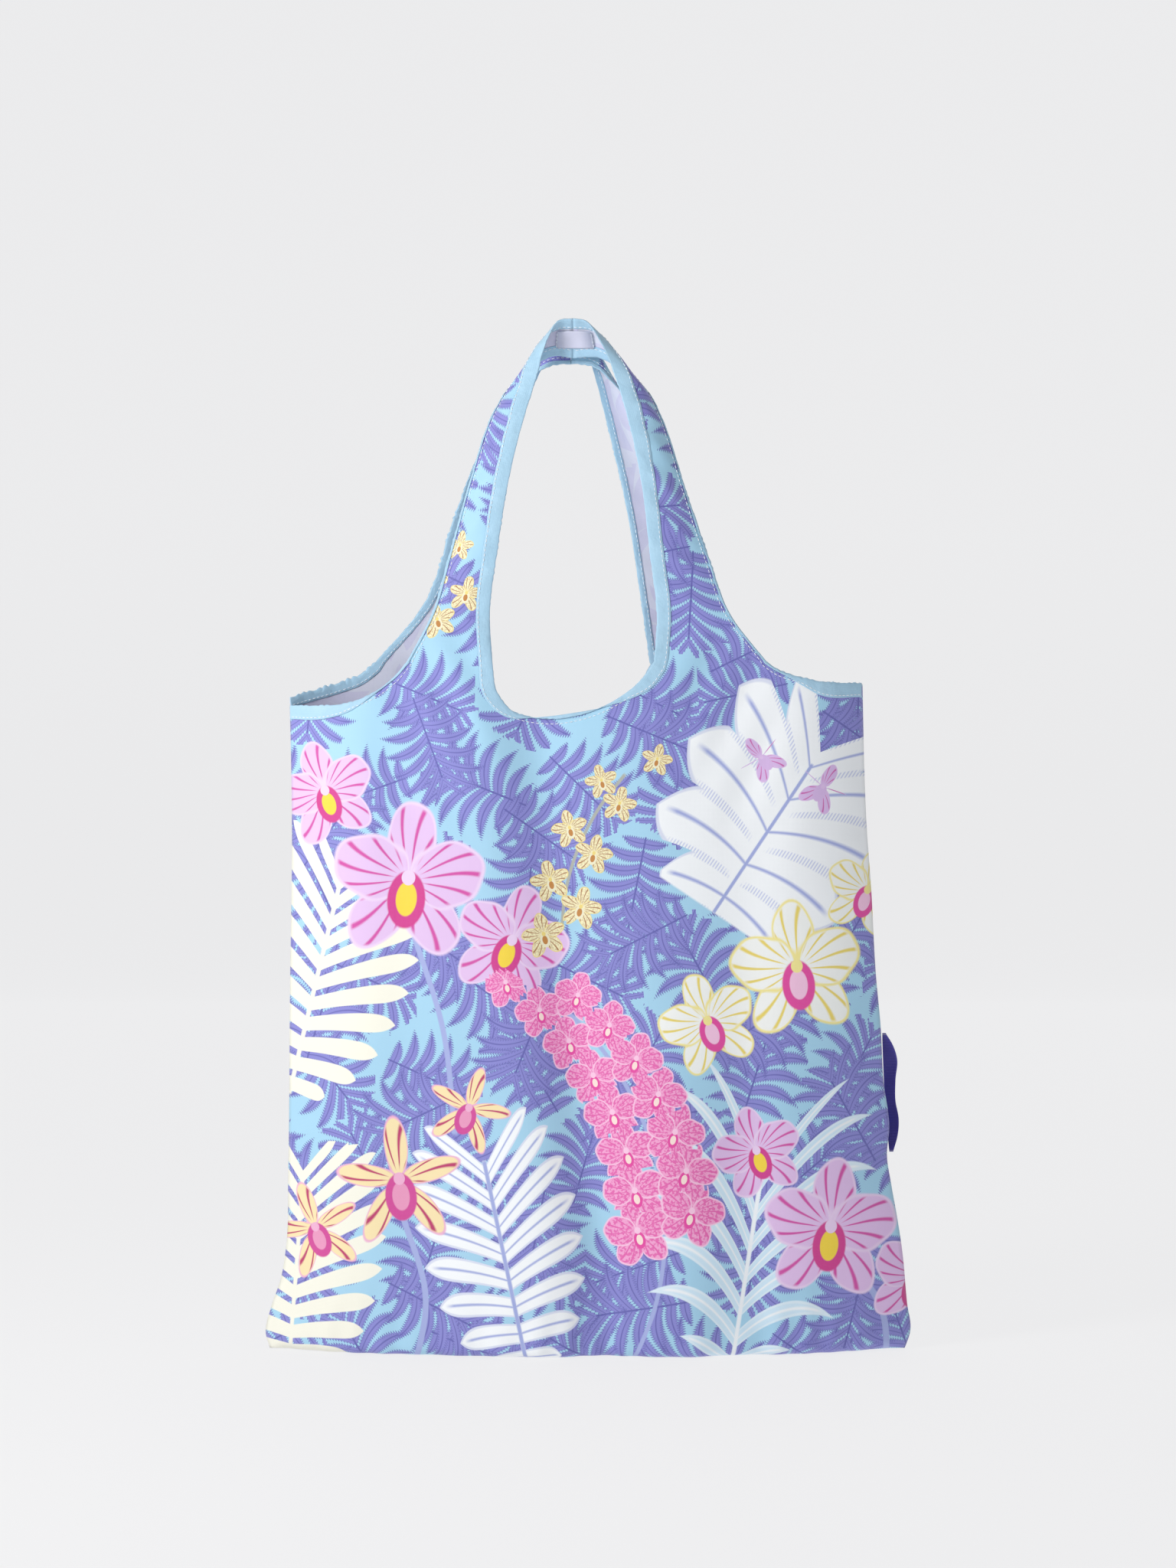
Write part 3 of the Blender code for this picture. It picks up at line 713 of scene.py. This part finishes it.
STRIPED = {
    "form": (0.18, 0.19, 0.0), "fill": (0.90, 0.74, 0.42), "line": (0.48, 0.02, 0.13),
    "rim": (0.82, 0.42, 0.62), "lip": (0.62, 0.05, 0.30), "core": (0.78, 0.30, 0.50),
}
GOLD = {
    "form": (0.30, 0.30, 0.35), "fill": (0.88, 0.82, 0.52), "line": (0.38, 0.16, 0.04),
    "rim": (0.82, 0.66, 0.20), "lip": (0.84, 0.80, 0.58), "core": (0.52, 0.22, 0.04),
}
BUD = {
    "form": (0.02, 0.27, 0.0), "fill": (0.68, 0.48, 0.80), "line": (0.58, 0.10, 0.42),
    "rim": (0.72, 0.52, 0.82), "lip": (0.66, 0.46, 0.78), "core": (0.66, 0.46, 0.78),
}


def spray_line(x, z, degrees, length, along):
    """A line that starts upright and bends over by the given angle."""
    bend = np.radians(degrees) * along
    return np.stack([x - np.sin(bend) * length * along, z + np.cos(bend) * length * along], axis=-1)


def spray(x, z, degrees, length, count, size, look):
    """Flowers to the left and right of such a line in turn, smaller towards its tip."""
    along = np.linspace(0, 1, count)
    hand = np.where(np.arange(count) % 2, 1, -1)
    place = spray_line(x, z, degrees, length, along)
    place[:, 0] += hand * size * 0.8
    return [(*at, -14 * h, size * (1 - 0.3 * a), look) for at, h, a in zip(place, hand, along)]


def bunch(x, z, size, lean, look):
    """A large flower, with two smaller ones that show beyond it: one below it to a side, one above the
    other side."""
    return [
        (x, z, -6 * lean, size, look),
        (x + lean * size * 1.35, z - size * 0.80, -20 * lean, size * 0.74, look),
        (x - lean * size * 1.10, z + size * 1.15, 18 * lean, size * 0.66, look),
    ]


# x, z, degrees, length of the sprays' lines
PINK_SPRAY = (0.052, 0.085, 28, 0.19)
GOLD_SPRAY = (-0.018, 0.285, -24, 0.13)
STRAP_SPRAY = (-0.092, 0.500, 8, 0.07)
SPRAYS = spray(*PINK_SPRAY, 15, 0.023, PINK) + spray(*GOLD_SPRAY, 8, 0.015, GOLD)
SPRAYS += spray(*STRAP_SPRAY, 5, 0.013, GOLD)
BUNCHES = [
    bunch(-0.122, 0.322, 0.052, 1, LILAC),
    bunch(0.142, 0.262, 0.045, -1, MOTH),
    bunch(-0.128, 0.118, 0.043, -1, STRIPED),
    bunch(0.165, 0.085, 0.046, 1, LILAC),
]
BUDS = [(0.160, 0.385, -30, 0.017, BUD), (0.118, 0.405, 40, 0.016, BUD)]
LOW_BLOOMS = SPRAYS[0::2] + [bloom for group in BUNCHES for bloom in group[1:]] + BUDS
HIGH_BLOOMS = SPRAYS[1::2] + [group[0] for group in BUNCHES]
WHITE, CREAM, ICE, DUSK = (0.90, 0.93, 0.96), (0.88, 0.87, 0.76), (0.62, 0.80, 0.93), (0.28, 0.34, 0.70)
LEAVES = [  # x, z, degrees, size, (spacing, bluntness, fatness), (rise, droop, reach), fill, line
    (0.085, 0.300, -34, 0.125, (0.210, 5.0, 0.68), (-0.15, 0.55, 0.62), WHITE, DUSK),
    (-0.205, 0.175, -14, 0.150, (0.094, 9.0, 0.34), (-0.10, 0.35, 0.42), CREAM, CREAM),
    (0.095, -0.020, -9, 0.150, (0.140, 2.0, 0.28), (0.9, 2.0, 0.52), ICE, WHITE),
    (-0.040, -0.010, 12, 0.150, (0.120, 7.0, 0.37), (-0.1, 0.5, 0.36), WHITE, DUSK),
    (-0.205, -0.020, -4, 0.140, (0.094, 9.0, 0.34), (-0.10, 0.35, 0.42), CREAM, CREAM),
]
OLIVE, MIST = (0.40, 0.42, 0.38), (0.36, 0.42, 0.74)
STEMS = [  # (x, z) knots from low to high, half-width, colour
    (spray_line(*GOLD_SPRAY, np.linspace(0, 0.9, 5)), 0.0011, OLIVE),
    (spray_line(*PINK_SPRAY, np.linspace(-0.5, 0.95, 7)), 0.0014, MIST),
    ([(0.205, -0.02), (0.200, 0.030), (0.170, 0.070)], 0.0022, MIST),
    ([(-0.120, -0.02), (-0.110, 0.040), (-0.126, 0.095)], 0.0020, MIST),
    ([(-0.090, 0.150), (-0.098, 0.220), (-0.120, 0.290)], 0.0018, MIST),
]
FERN_ROW = 0.064  # the height from one row of ferns to the next
FERN_HEADINGS = [-155, -120, -65, -25, 20, 55, 110, 165]


def fern_places(offset, seed, gap):
    """Ferns on staggered rows, each turned and shifted a little, from the base up past the straps. They are
    (x, z, degrees, size)."""
    chance = np.random.default_rng(seed)
    rows, columns = np.mgrid[-1:17, -5:6]
    x = columns * gap + (rows % 2) * gap / 2 + offset
    z = rows * FERN_ROW + offset * 0.9
    turned = chance.choice(FERN_HEADINGS, x.shape) + chance.uniform(-15, 15, x.shape)
    size = chance.uniform(0.060, 0.068, x.shape)
    x += chance.uniform(-0.005, 0.005, x.shape) + np.sin(np.radians(turned)) * size / 2
    z += chance.uniform(-0.005, 0.005, x.shape) - np.cos(np.radians(turned)) * size / 2
    return np.stack([x, z, turned, size], axis=-1).reshape(-1, 4)


def lay_stems(mesh, faces, flat):
    """Each face's nearest stem: its corners' signed distance from it, their share of its length, and its
    half-width."""
    middle = flat[faces].mean(axis=1)
    lines = [spread(knots, 60) for knots, _, _ in STEMS]
    gaps = np.stack([np.linalg.norm(middle[:, None] - line[None], axis=2).min(axis=1) for line in lines])
    chosen = gaps.argmin(axis=0)
    values = np.full((*faces.shape, 3), FAR)
    for number, line in enumerate(lines):
        mine = (chosen == number) & (gaps[number] < STEM_REACH)
        corner = flat[faces[mine]]
        nearest = np.linalg.norm(corner[:, :, None] - line, axis=3).argmin(axis=2)
        nearest = np.clip(nearest, 1, len(line) - 2)
        away = corner - line[nearest]
        along = line[nearest + 1] - line[nearest - 1]
        step = np.linalg.norm(along, axis=-1)
        along /= step[..., None]
        distance = away[..., 0] * along[..., 1] - away[..., 1] * along[..., 0]
        run = (nearest + (away * along).sum(-1) / (step / 2)) / (len(line) - 1)
        values[mine] = np.stack([distance, run, 0 * run + STEMS[number][1]], axis=-1)
    put(mesh, "stem", "FLOAT_VECTOR", "CORNER", values)
    face_values(mesh, "stem_colour", chosen, [colour for _, _, colour in STEMS])


def print_panel(mesh, faces, flat, side):
    """Lays every layer of the print on a panel. On the back panel the same motifs are mirrored."""
    flat = flat * np.array([-side, 1])
    for name, offset, seed, gap in (("fern_low", 0.0, 4, 0.074), ("fern_high", 0.037, 11, 0.148)):
        lay_motifs(mesh, name, faces, flat, fern_places(offset, seed, gap), 0.5)
    lay_stems(mesh, faces, flat)
    chosen = lay_motifs(mesh, "leaf", faces, flat, LEAVES, 0.5)
    for place, name in ((4, "form"), (5, "bend"), (6, "fill"), (7, "line")):
        face_values(mesh, "leaf_" + name, chosen, [leaf[place] for leaf in LEAVES])
    for name, blooms in (("bloom_low", LOW_BLOOMS), ("bloom_high", HIGH_BLOOMS)):
        chosen = lay_motifs(mesh, name, faces, flat, blooms, 0.0)
        for part in ("form", *BLOOM_COLOURS):
            face_values(mesh, f"{name}_{part}", chosen, [bloom[4][part] for bloom in blooms])


def set_uv(mesh, faces, flat):
    layer = mesh.uv_layers.new(name="UVMap")
    layer.data.foreach_set("uv", flat[faces].astype(np.float32).ravel())


def over_the_fold(piece, word, side):
    """Bakes the piece's placement into its mesh."""
    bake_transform(piece)


outside, inside = printed_cloth(), cloth_reverse()


def cut_size(points, faces, flat):
    """The cloth's width, length and area before it was hung. Hanging doesn't stretch it, so its widest row,
    its unrolled height and the sum of its faces are those of the flat cut."""
    columns = sum(COLUMNS.values()) + 1
    rows = points[:columns * (FOOT_ROWS + WALL_ROWS)].reshape(-1, columns, 3)
    width = np.linalg.norm(np.diff(rows, axis=1), axis=2).sum(axis=1).max()
    corner = points[faces]
    area = np.linalg.norm(np.cross(corner[:, 2] - corner[:, 0], corner[:, 3] - corner[:, 1]),
                          axis=1).sum() / 2
    return (round(float(width), 3), round(float(np.ptp(flat[:, 1])), 3)), round(float(area), 4)


cloths, cut_sizes = {}, {}
for word, side in (("front", FRONT), ("back", BACK)):
    points, faces, flat = panel_grid(word, side)
    cloth = new_mesh(word + "_cloth", points, faces, [outside, inside])
    set_uv(cloth.data, faces, flat)
    print_panel(cloth.data, faces, flat, side)
    thick = cloth.modifiers.new("thickness", "SOLIDIFY")
    thick.thickness, thick.offset = CLOTH, 0
    thick.material_offset, thick.material_offset_rim = 1, 1
    over_the_fold(cloth, word, side)
    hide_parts(word + "_panel", word + "_left_strap", word + "_right_strap")
    cloths[word], cut_sizes[word] = cloth, cut_size(points, faces, flat)

# ---------------------------------------------------------------------------
# The binding: light blue bias tape folded over every raw edge of the rim and straps. One tape runs round
# the neck and up both straps to the seam at the top, and one along each shoulder and up its strap. White
# thread holds it down.
TAPE_WIDTH, TAPE_OUTER, TAPE_INNER, TAPE_LIP = 0.0088, 0.00072, 0.00034, 0.0006
LIFT = 0.00020  # how far the tape's waves lift it off the cloth
OVER_TAPE = 0.0001  # how far the thread's middle lies above the tape
REVERSE_SHIFT = 0.03  # keeps the pattern of the tape's inner side apart from that of its outer side
STITCH_LENGTH, STITCH_STEP, STITCH_RADIUS = 0.0023, 0.0033, 0.00026
STITCH_IN, STITCH_LEAST = 0.0016, 0.0030  # in from the tape's edge, and least from the cloth's edge


def tape_material():
    """Pale blue satin tape: thread lines along it and slightly uneven dye."""
    material, tree, shader = cloth_shader("binding_tape", 0.5, 0.3)
    flat = uv_of(tree)
    u, v, _ = parts_of(tree, flat)
    cloud = noise(tree, flat, 60, 2)
    colour = mixed(tree, cloud, (0.32, 0.54, 0.72), (0.42, 0.64, 0.81))
    creases = noise(tree, flat, 170, 2) * 0.0009 + noise(tree, flat, 60, 2) * 0.0014
    ridge = (u * 2200).wave() * 0.00005 + (v * 1500).wave() * 0.00004 + creases
    colour = mixed(tree, (v * 900).wave() * 0.15, colour, (0.62, 0.84, 0.95))
    raise_surface(tree, shader, ridge, 1.0, 0.7)
    tree.links.new(colour, shader.inputs["Base Color"])
    return material


tape_finish = tape_material()
thread_finish = plain_material("white_thread", (0.88, 0.92, 0.97), 0.6)

SLIM = 0.14  # the share of the tape that shows outside where the edge is rolled in

# One tape's cross-section: how far in from the edge, and how far off the cloth's middle. It runs down the
# outside, round the fold at the edge, up the inside and back along its own inner face.
OUTER_RUN = [(1.0, 0.62), (0.96, 0.95), (0.8, 1.0), (0.45, 1.15), (0.12, 1.05), (0.0, 0.8)]


def tape_section():
    w, o, i, lip = TAPE_WIDTH, TAPE_OUTER, TAPE_INNER, TAPE_LIP
    out = [(w * a, o * b) for a, b in OUTER_RUN]
    out += [(-lip * 0.7, o * 0.5), (-lip, 0.0), (-lip * 0.7, -o * 0.5)]
    out += [(w * a, -o * b) for a, b in reversed(OUTER_RUN)]
    back = [(w * 0.94, -i), (w * 0.4, -i), (0.0002, -i * 0.9), (-0.0003, 0.0), (0.0002, i * 0.9),
            (w * 0.4, i), (w * 0.94, i)]
    return np.array(out + back)


def rim_place(knots, count, turn):
    """A function of (how far in, how far off the cloth) that gives the points along a cut edge of the rim."""
    line = spread(knots, count)
    along = np.gradient(line, axis=0)
    into = turn * np.stack([along[:, 1], -along[:, 0]], axis=1)
    into /= np.linalg.norm(into, axis=1, keepdims=True)

    def place(reach, off, side):
        spot = line + into * np.reshape(reach, (-1, 1))
        return wall_point(np.clip(across_of(spot[:, 0], spot[:, 1]), -1, 1), spot[:, 1], off, side)
    return place


def strap_place(name, along, outer):
    """The same for a strap's inner or outer edge."""
    line = [edge_points(knots, along, 1) for knots in STRAPS[name]]
    width = np.linalg.norm(line[1] - line[0], axis=1)

    def place(reach, off, side):
        q = reach / width
        return strap_point(name, along, 1 - q if outer else q, off, side)
    return place


def gather(run, strength, side):
    """Small uneven waves along a tape, of the strength given."""
    waves = np.sin(run * 560 + side) + 0.6 * np.sin(run * 913 + 2.1 + side)
    return strength * waves * (0.6 + 0.4 * np.sin(run * 47))


def make_tape(name, word, side, places, shown, inside_share, replaced, strength):
    """Tape and stitches along a list of edge places joined end to end. Each place has its own knots of the
    share of the tape's width that shows on the outside. On the inside its share is the same all along."""
    section = tape_section()
    base = np.concatenate([place(np.float64(0.0), np.float64(0.0), side) for place in places])
    run = run_along(base)
    splits = np.cumsum([len(place(0.0, 0.0, side)) for place in places])[:-1]
    runs = np.split(run, splits)
    shares = [through(knots, np.linspace(0, 1, len(r))) for knots, r in zip(shown, runs)]
    rings = []
    for reach, off in section:
        parts = []
        for place, r, share in zip(places, runs, shares):
            wave = gather(r, strength, side)
            reach_here = reach * np.where(off > 0, share, inside_share) if reach > 0 else reach
            bulge = 1.3 * np.abs(wave) * (1 - np.clip(reach / TAPE_WIDTH, 0, 1))
            lift = np.clip(wave, 0, LIFT) if off > 0 else np.clip(wave, -LIFT, 0)
            parts.append(place(reach_here - bulge, off + lift, side))
        rings.append(np.concatenate(parts))
    points = np.stack(rings, axis=1)
    index = numbers_of(points)
    faces = grid_faces(index, around=True)
    caps = [tuple(index[0, ::-1]), tuple(index[-1])]
    tape = new_mesh(name, points, [*faces, *caps], [tape_finish])
    inner_side = REVERSE_SHIFT * (section[:, 1] < 0)
    flat = np.stack([run[:, None] + 0 * section[:, 0], 0 * run[:, None] + section[:, 0] + inner_side],
                    axis=-1)
    flat = flat.reshape(-1, 2)
    corners = np.concatenate([flat[faces].reshape(-1, 2), flat[index[0, ::-1]], flat[index[-1]]])
    tape.data.uv_layers.new(name="UVMap").data.foreach_set("uv", corners.astype(np.float32).ravel())
    make_outward(tape)
    over_the_fold(tape, word, side)
    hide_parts(*replaced)
    stitch_lines = []
    for face in (1, -1):
        parts = []
        for place, r, share in zip(places, runs, shares):
            shown_here = share if face > 0 else inside_share + 0 * share
            reach = np.maximum(TAPE_WIDTH * shown_here - STITCH_IN, STITCH_LEAST)
            on_tape = (share > 0.4) | (face < 0)
            lift = np.where(on_tape, TAPE_OUTER + OVER_TAPE, CLOTH / 2 + OVER_TAPE)
            parts.append(place(reach, face * (lift + LIFT * 0.6), side))
        stitch_lines.append(np.concatenate(parts))
    thread = stitches(name + "_stitches", stitch_lines)
    over_the_fold(thread, word, side)
    return tape, thread


def make_outward(obj, mixed_ways=False):
    """Turns a closed mesh's faces outwards, first making them agree where they were built in mixed ways."""
    shape = bmesh.new()
    shape.from_mesh(obj.data)
    if mixed_ways:
        bmesh.ops.recalc_face_normals(shape, faces=shape.faces)
    if shape.calc_volume(signed=True) < 0:
        bmesh.ops.reverse_faces(shape, faces=shape.faces)
    shape.to_mesh(obj.data)
    shape.free()


def stitches(name, lines, step=STITCH_STEP, length=STITCH_LENGTH, radius=STITCH_RADIUS):
    """Short four-sided threads laid end to end with gaps along lines: a row of rings per stitch, thin at
    its ends."""
    shape = np.array([(0, 0.35), (0.25, 1.0), (0.75, 1.0), (1, 0.35)])
    around = np.arange(4) * math.pi / 2
    blocks = []
    for line in lines:
        run = run_along(line)
        starts = np.arange(step / 2, run[-1] - length, step)
        at = starts[:, None] + shape[:, 0] * length
        middle = np.stack([np.interp(at, run, line[:, i]) for i in range(3)], axis=-1)
        forward = middle[:, -1] - middle[:, 0]
        forward /= np.linalg.norm(forward, axis=1, keepdims=True) + 1e-12
        side_way = np.cross(forward, (0.3, 1.0, 0.2))
        side_way /= np.linalg.norm(side_way, axis=1, keepdims=True)
        up = np.cross(side_way, forward)
        ring = np.cos(around)[:, None] * side_way[:, None] + np.sin(around)[:, None] * up[:, None]
        blocks.append(middle[:, :, None] + ring[:, None] * (radius * shape[:, 1])[None, :, None, None])
    points = np.concatenate(blocks)
    index = np.arange(points.shape[0] * 16).reshape(-1, 4, 4)
    closed = np.concatenate([index, index[:, :, :1]], axis=2)
    walls = np.stack([closed[:, :-1, :-1], closed[:, 1:, :-1], closed[:, 1:, 1:], closed[:, :-1, 1:]],
                     axis=-1)
    caps = np.concatenate([index[:, 0], index[:, -1, ::-1]])
    thread = new_mesh(name, points, np.concatenate([walls.reshape(-1, 4), caps]), [thread_finish])
    make_outward(thread)
    return thread


STRAP_RINGS, NECK_RINGS, LEFT_RINGS, RIGHT_RINGS = 120, 90, 70, 60
for word, side in (("front", FRONT), ("back", BACK)):
    cuts = CUTS[word]
    down, up = np.linspace(1, 0, STRAP_RINGS)[:-1], np.linspace(0, 1, STRAP_RINGS)[1:]
    wide, slim = [(0, 1), (1, 1)], [(0, SLIM), (1, SLIM)]
    neck = [
        strap_place(f"{word}_left", down, False), rim_place(cuts["neck"], NECK_RINGS, 1),
        strap_place(f"{word}_right", up, False),
    ]
    bare = [(0, 1), (0.14, 1), (0.25, 0.6), (0.32, SLIM), (0.72, SLIM), (0.80, 0.5), (0.92, 1), (1, 1)]
    replaced = [f"{word}_neck_binding", f"{word}_handle_inner_binding"]
    neck_inside, curved = (0.9, 0.0004) if word == "front" else (0.45, 0.0009)
    make_tape(f"{word}_neck_tape", word, side, neck, [wide, bare, wide], neck_inside, replaced, 0.00035)
    left = [rim_place(cuts["left_shoulder"], LEFT_RINGS, 1), strap_place(f"{word}_left", up, True)]
    corner = [(0, 1), (0.25, 1), (0.45, 0.6), (0.62, SLIM), (1, SLIM)]
    replaced = [f"{word}_left_shoulder_binding", f"{word}_handle_outer_binding"]
    make_tape(f"{word}_left_shoulder_tape", word, side, left, [corner, slim], 0.7, replaced, curved)
    right = [strap_place(f"{word}_right", down, True), rim_place(cuts["right_shoulder"], RIGHT_RINGS, 1)]
    corner = [(0, SLIM), (0.22, SLIM), (0.4, 0.5), (0.6, 1), (1, 1)]
    replaced = [f"{word}_right_shoulder_binding"]
    make_tape(f"{word}_right_shoulder_tape", word, side, right, [slim, corner], 0.7, replaced, curved)

# ---------------------------------------------------------------------------
# The loops' top seams: where a loop's two straps meet, their ends are lapped and sewn down with two rows of
# thread, which leaves a doubled patch of cloth on the reverse.
PATCH_LIFT, PATCH_THICK, PATCH_PLACES = 0.0010, 0.0005, 17
PATCH_FOOT, PATCH_END = 0.955, 0.985  # the places along each strap that the patch's rows of points lie at
for word, side in (("front", FRONT), ("back", BACK)):
    names = (f"{word}_left", f"{word}_right")
    q = np.linspace(0.34, 0.80, PATCH_PLACES)
    sheets = []
    for off in (-PATCH_LIFT, -PATCH_LIFT - PATCH_THICK):
        places = ((names[0], PATCH_FOOT), (names[0], PATCH_END), (names[1], PATCH_END),
                  (names[1], PATCH_FOOT))
        sheets.append(np.array([strap_point(name, 0 * q + along, q, 0 * q + off, side) for name,
                                along in places]))
    points = np.concatenate(sheets)
    index = numbers_of(points)
    ring = np.concatenate([index[:4], index[4:][::-1], index[:1]])
    ends = [
        (index[i, e], index[i + 1, e], index[i + 5, e], index[i + 4, e])
        for i in range(3) for e in (0, -1)
    ]
    patch = new_mesh(f"{word}_top_seam", points, [*grid_faces(ring), *ends], [inside])
    make_outward(patch, mixed_ways=True)
    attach(patch, f"{word}_handle")
    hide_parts(f"{word}_handle_seam")
    lines = [sheets[1][i] + (sheets[1][i] - sheets[0][i]) * 0.3 for i in (0, 3)]
    seam_thread = stitches(f"{word}_top_seam_stitches", lines, step=0.0026)
    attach(seam_thread, f"{word}_handle")

# ---------------------------------------------------------------------------
# The seams inside: the two panels' allowances are overlocked together down each side and along the base,
# and stand inwards as narrow, slightly wavy strips of the cloth's reverse.
ALLOWANCE, STRIP_THICK = 0.0085, 0.0007


def overlocked_strip(name, outer, inner, node):
    """A thin strip between two lines of points, with zigzag thread over its free edge."""
    run = run_along(outer)
    sway = np.stack([0 * run, 0.0006 * np.sin(run * 170) + 0.0004 * np.sin(run * 67), 0 * run], axis=1)
    across = np.linspace(0, 1, 6)
    middle = outer[:, None] + (inner - outer)[:, None] * across[:, None] + sway[:, None] * across[:, None]
    half = np.array([0, STRIP_THICK / 2, 0])
    ring = np.concatenate([middle + half, middle[:, ::-1] - half], axis=1)
    index = numbers_of(ring)
    faces = [*grid_faces(index, around=True), tuple(index[0]), tuple(index[-1, ::-1])]
    strip = new_mesh(name, ring, faces, [inside])
    strip.data.uv_layers.new(name="UVMap")
    make_outward(strip)
    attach(strip, "bag_body")
    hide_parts(node)
    zigzag = np.arange(len(run) * 4)
    edge, back = (
        np.stack([np.interp(zigzag / 4, np.arange(len(run)), middle[:, place, i]) for i in range(3)], axis=1)
        for place in (-1, 2)
    )
    thread_line = np.where((zigzag % 2 == 0)[:, None], edge, back) + (0, STRIP_THICK / 2 + 0.0002, 0)
    thread = stitches(name + "_thread", [thread_line], step=0.0052, length=0.0046)
    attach(thread, "bag_body")


SEAM_FOOT, SEAM_TOP, BASE_END, SEAM_GAP = 0.013, 0.435, 0.205, 0.0012
for hand, edge, turn in (("left", LEFT_EDGE, 1), ("right", RIGHT_EDGE, -1)):
    height = np.linspace(SEAM_FOOT, SEAM_TOP, 150)
    x = through(edge, height)
    outer = np.stack([x + turn * SEAM_GAP, 0 * x, height], axis=1)
    overlocked_strip(f"{hand}_side_allowance", outer, outer + (turn * ALLOWANCE, 0, 0), f"{hand}_side_seam")
x = np.linspace(-BASE_END, BASE_END, 150)
outer = np.stack([x, 0 * x, SEAM_GAP + 0 * x], axis=1)
overlocked_strip("base_allowance", outer, outer + (0, 0, ALLOWANCE * 0.9), "bottom_seam")

# ---------------------------------------------------------------------------
# The closure loop: a flat indigo ribbon, both ends caught in the right side seam. It holds the bag when it
# is folded up, and otherwise bows out and back from the seam.
RIBBON_THICK, RIBBON_LENGTH = 0.0012, 0.085
INNER_LOW, INNER_HIGH, BOW = 0.2070, 0.2022, 0.0115  # its inner edge's x at both ends, and its bow backwards
REACH = [(0, 0.0028), (0.1, 0.0062), (0.26, 0.0084), (0.42, 0.0072), (0.6, 0.0080), (0.78, 0.0098),
         (0.9, 0.0070), (1, 0.0024)]
low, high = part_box("closure_loop")


def ribbon_material():
    """Indigo grosgrain: ribs across the ribbon, and a painted sheen: its colour is lighter along its
    selvedges.
    """
    material, tree, shader = cloth_shader("closure_ribbon", 0.45, 0.5)
    u, v, _ = parts_of(tree, uv_of(tree))
    rib = (u * 900).wave()
    colour = mixed(tree, rib * 0.5, (0.022, 0.014, 0.20), (0.045, 0.030, 0.34))
    # painted sheen: a lighter indigo along both selvedges stands in for the light they catch
    colour = mixed(tree, (v - 0.5).size().over(0.42, 30) * 0.5, colour, (0.07, 0.05, 0.42))
    raise_surface(tree, shader, rib, 0.0002, 1.0)
    tree.links.new(colour, shader.inputs["Base Color"])
    return material


at = np.linspace(0, 1, 90)
bow = np.sin(math.pi * at)
inner_x = INNER_LOW + (INNER_HIGH - INNER_LOW) * at
z = low.z + 0.0006 + (high.z - low.z - 0.0012) * at
y = BOW * bow**0.75
outer_x = inner_x + through(REACH, at)
across = np.linspace(0, 1, 9)
middle = np.stack([inner_x[:, None] + (outer_x - inner_x)[:, None] * across,
                   y[:, None] + 0.0009 * np.sin(at * 19)[:, None] * (across - 0.3), z[:, None] + 0 * across],
                   axis=-1)
slope = np.gradient(np.stack([y, z], 1), axis=0)
facing = np.stack([0 * z, slope[:, 1], -slope[:, 0]], axis=1)
facing *= RIBBON_THICK / 2 / np.linalg.norm(facing, axis=1, keepdims=True)
ring = np.concatenate([middle + facing[:, None], middle[:, ::-1] - facing[:, None]], axis=1)
index = numbers_of(ring)
faces = grid_faces(index, around=True)
ribbon = new_mesh("ribbon_loop", ring, [*faces, tuple(index[0]), tuple(index[-1, ::-1])], [ribbon_material()])
place = np.concatenate([across, across[::-1]])
flat = np.stack([RIBBON_LENGTH * at[:, None] + 0 * place, 0 * at[:, None] + place], axis=-1).reshape(-1, 2)
corners = np.concatenate([flat[faces].reshape(-1, 2), flat[index[0]], flat[index[-1, ::-1]]])
ribbon.data.uv_layers.new(name="UVMap").data.foreach_set("uv", corners.astype(np.float32).ravel())
make_outward(ribbon)
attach(ribbon, "closure_loop")
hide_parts("closure_loop")
